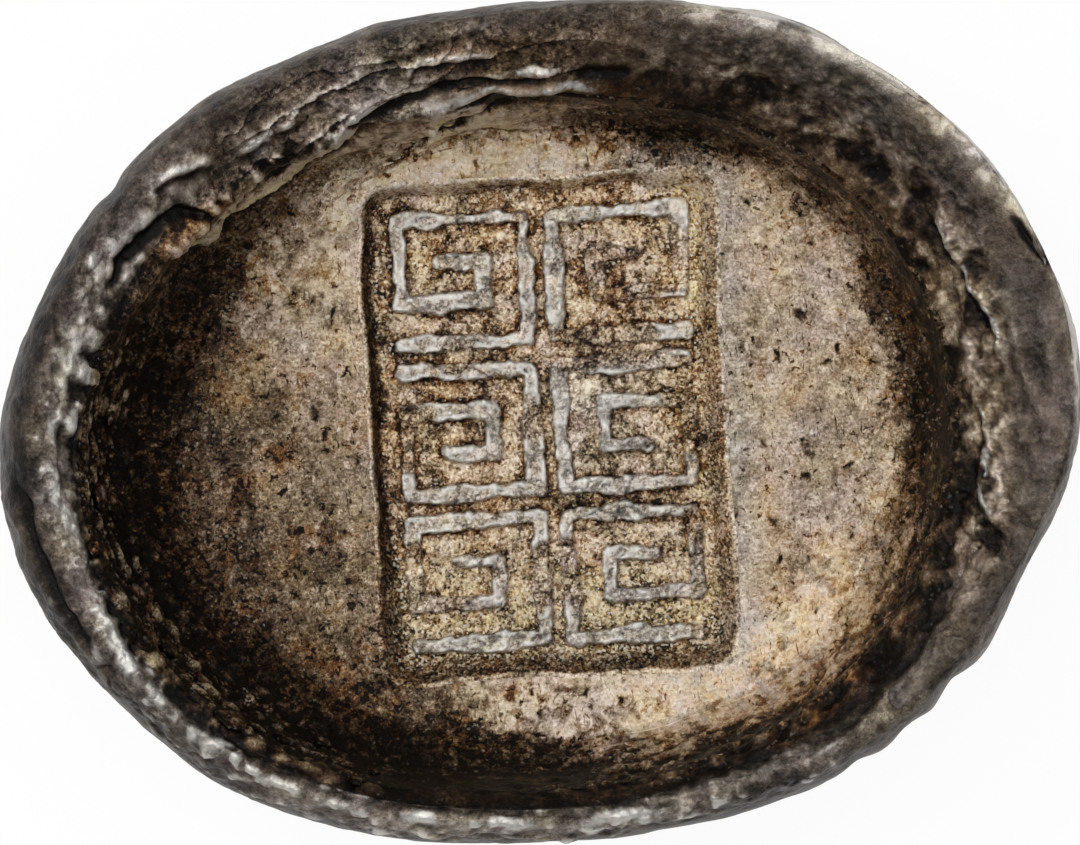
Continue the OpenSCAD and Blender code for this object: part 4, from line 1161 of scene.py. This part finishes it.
crust_marks = zip(MARKS, (tone, warm, 0.2 * soft_step(fine, 0.08, 0.2), gold))
points, faces = closed_sheet(crust_top, ground - out * 0.3, True)
add_piece("wall_crust", points, faces, {m: np.tile(val.ravel(), 2) for m, val in crust_marks}, black_crust,
          ["wall_crust"])

# %% [markdown]
# ## Beads
# Drops of silver splashed on the inner edge of the thin side and froze there, more or less round. Each is
# a small closed grid, a drop that is flattened towards the wall and pressed out of round by noise, and all
# are one piece.

# %% One round drop
BEAD_ROWS, BEAD_COLS = 18, 32
lat, lon = np.meshgrid(np.linspace(-90, 90, BEAD_ROWS + 2)[1:-1] * DEG,
                       np.arange(BEAD_COLS) * 2 * math.pi / BEAD_COLS, indexing="ij")
ball = np.stack([np.cos(lat) * np.cos(lon), np.cos(lat) * np.sin(lon), np.sin(lat)], -1).reshape(-1, 3)
ball = np.concatenate([ball, [[0, 0, -1], [0, 0, 1]]])
count = BEAD_ROWS * BEAD_COLS
ring = np.arange(BEAD_COLS)
bottom_fan = np.stack([np.full(BEAD_COLS, count), np.roll(ring, -1), ring], -1)
top_ring = count - BEAD_COLS + ring
top_fan = np.stack([np.full(BEAD_COLS, count + 1), top_ring, np.roll(top_ring, -1)], -1)
print("points of a drop:", len(ball))

# %% Build the beads
# Eleven groups of four drops, each smaller than the last: shift in degrees, shift along the section, size.
GROUPS, FIRST_DEG, STEP_DEG = 11, 158, 8.5
DROPS = [(0, 0, 1), (2.2, 0.12, 0.7), (-1.8, 0.22, 0.5), (4.0, 0.3, 0.4)]
bead_points, quads, fans, bead_tone = [], [], [], []
for k in range(GROUPS):
    for twin, (aside, further, share) in enumerate(DROPS):
        a = np.array((FIRST_DEG + STEP_DEG * k + aside + rng.uniform(-1, 1)) * DEG)
        s = np.array(3.0 + 0.14 * ((2 * k) % 4) + further + rng.uniform(-0.05, 0.05))
        size = (0.4 + 0.25 * abs(math.cos(k * 61 * DEG))) * share
        ground, out = (v[0] for v in frozen(a[None], s[None])[:2])
        east = np.cross([0, 0, 1.0], out)
        east /= np.linalg.norm(east)
        north = np.cross(out, east)
        axes = np.stack([east * rng.uniform(0.9, 1.5), north * rng.uniform(0.9, 1.7), out * 0.5])
        drop = ball * (1 + 0.5 * uneven(ball * 0.9 + 9.1 * k + 3.3 * twin, 0.9, 3))[:, None]
        first = len(bead_points) * len(ball)
        bead_points.append(ground + size * drop @ axes)
        quads.append(grid_faces(BEAD_ROWS, BEAD_COLS, True, first))
        fans += [bottom_fan + first, top_fan + first]
        rubbed = soft_step(ball[:, 2] + 0.8 * uneven(ball + 7.7 * k + 2.9 * twin, 0.6, 3), 0.2, 1.3)
        bead_tone.append(0.04 + 0.42 * rubbed)
tone = np.concatenate(bead_tone)
add_piece("silver_beads", np.concatenate(bead_points), [np.concatenate(quads), np.concatenate(fans)],
          {"tone": tone, "warm": 0.8 + 0 * tone, "worn": 0.5 * soft_step(tone, 0.34, 0.5),
           "gold": 0.1 + 0 * tone}, bead_silver, ["silver_beads"], 2)

# %% [markdown]
# ## Stage, light and camera
# The ingot lies on a white table in soft studio light and is seen straight from above, turned by seven
# degrees. A long lens keeps the rim from hiding the wall. The key light comes from the upper left, so that
# raised lines get a bright left side. The table is white to the camera and in reflections, and still takes
# the ingot's shadow.

# %% White table
TABLE_WHITE = 0.94
table = bpy.data.materials.new("white_table")
table.use_nodes = True
tree = table.node_tree
tree.nodes.clear()
path = add(tree, "LightPath").outputs
seen = path["Is Camera Ray"]
for kind in ("Is Glossy Ray", "Is Transmission Ray"):
    seen = add(tree, "Math", {0: seen, 1: path[kind]}, operation="MAXIMUM").outputs[0]
seen = add(tree, "Math", {0: seen, 1: TABLE_WHITE}, operation="MULTIPLY").outputs[0]
matt = add(tree, "BsdfDiffuse", {"Color": linear("#F4F4F2")})
white = add(tree, "Emission", {"Color": [1, 1, 1, 1], "Strength": 1.0})
mixed = add(tree, "MixShader", {0: seen, 1: matt.outputs[0], 2: white.outputs[0]})
add(tree, "OutputMaterial", {"Surface": mixed.outputs[0]})
sheet = bpy.data.meshes.new("table_top")
sheet.from_pydata([(-1, -1, 0), (1, -1, 0), (1, 1, 0), (-1, 1, 0)], [], [(0, 1, 2, 3)])
table_top = bpy.data.objects.new("table_top", sheet)
bpy.context.scene.collection.objects.link(table_top)
sheet.materials.append(table)
print("stage: one white table")


# %% Lights and world
def add_light(name, place, size, power):
    """A square soft light that looks at the ingot; place and size in metres, power in watts."""
    light = bpy.data.lights.new(name, "AREA")
    light.size, light.energy = size, power
    lamp = bpy.data.objects.new(name, light)
    lamp.location = place
    direction = -lamp.location
    lamp.rotation_euler = direction.to_track_quat("-Z", "Y").to_euler()
    bpy.context.scene.collection.objects.link(lamp)


add_light("overhead_light", (0.02, 0.05, 0.62), 0.42, 1.9)
add_light("key_light", (-0.28, 0.2, 0.52), 0.24, 1.5)
world = bpy.data.worlds.new("pale_room")
bpy.context.scene.world = world
world.use_nodes = True
tree = world.node_tree
tree.nodes.clear()
room = add(tree, "Background", {"Color": linear("#EDEFF2"), "Strength": 0.38})
add(tree, "OutputWorld", {"Surface": room.outputs[0]})

# %% Camera
CAMERA_AWAY, CAMERA_TURN = 348, -7.1 * DEG
lens = bpy.data.cameras.new("camera")
lens.lens, lens.sensor_width = 220, 36
camera = bpy.data.objects.new("camera", lens)
camera.location = (0, 0, (WIDEST_Z + CAMERA_AWAY) * MM)
camera.rotation_euler = (0, 0, CAMERA_TURN)
bpy.context.scene.collection.objects.link(camera)
bpy.context.scene.camera = camera
bpy.context.scene.view_settings.view_transform = "Standard"
print("camera height, mm:", round(camera.location.z / MM))
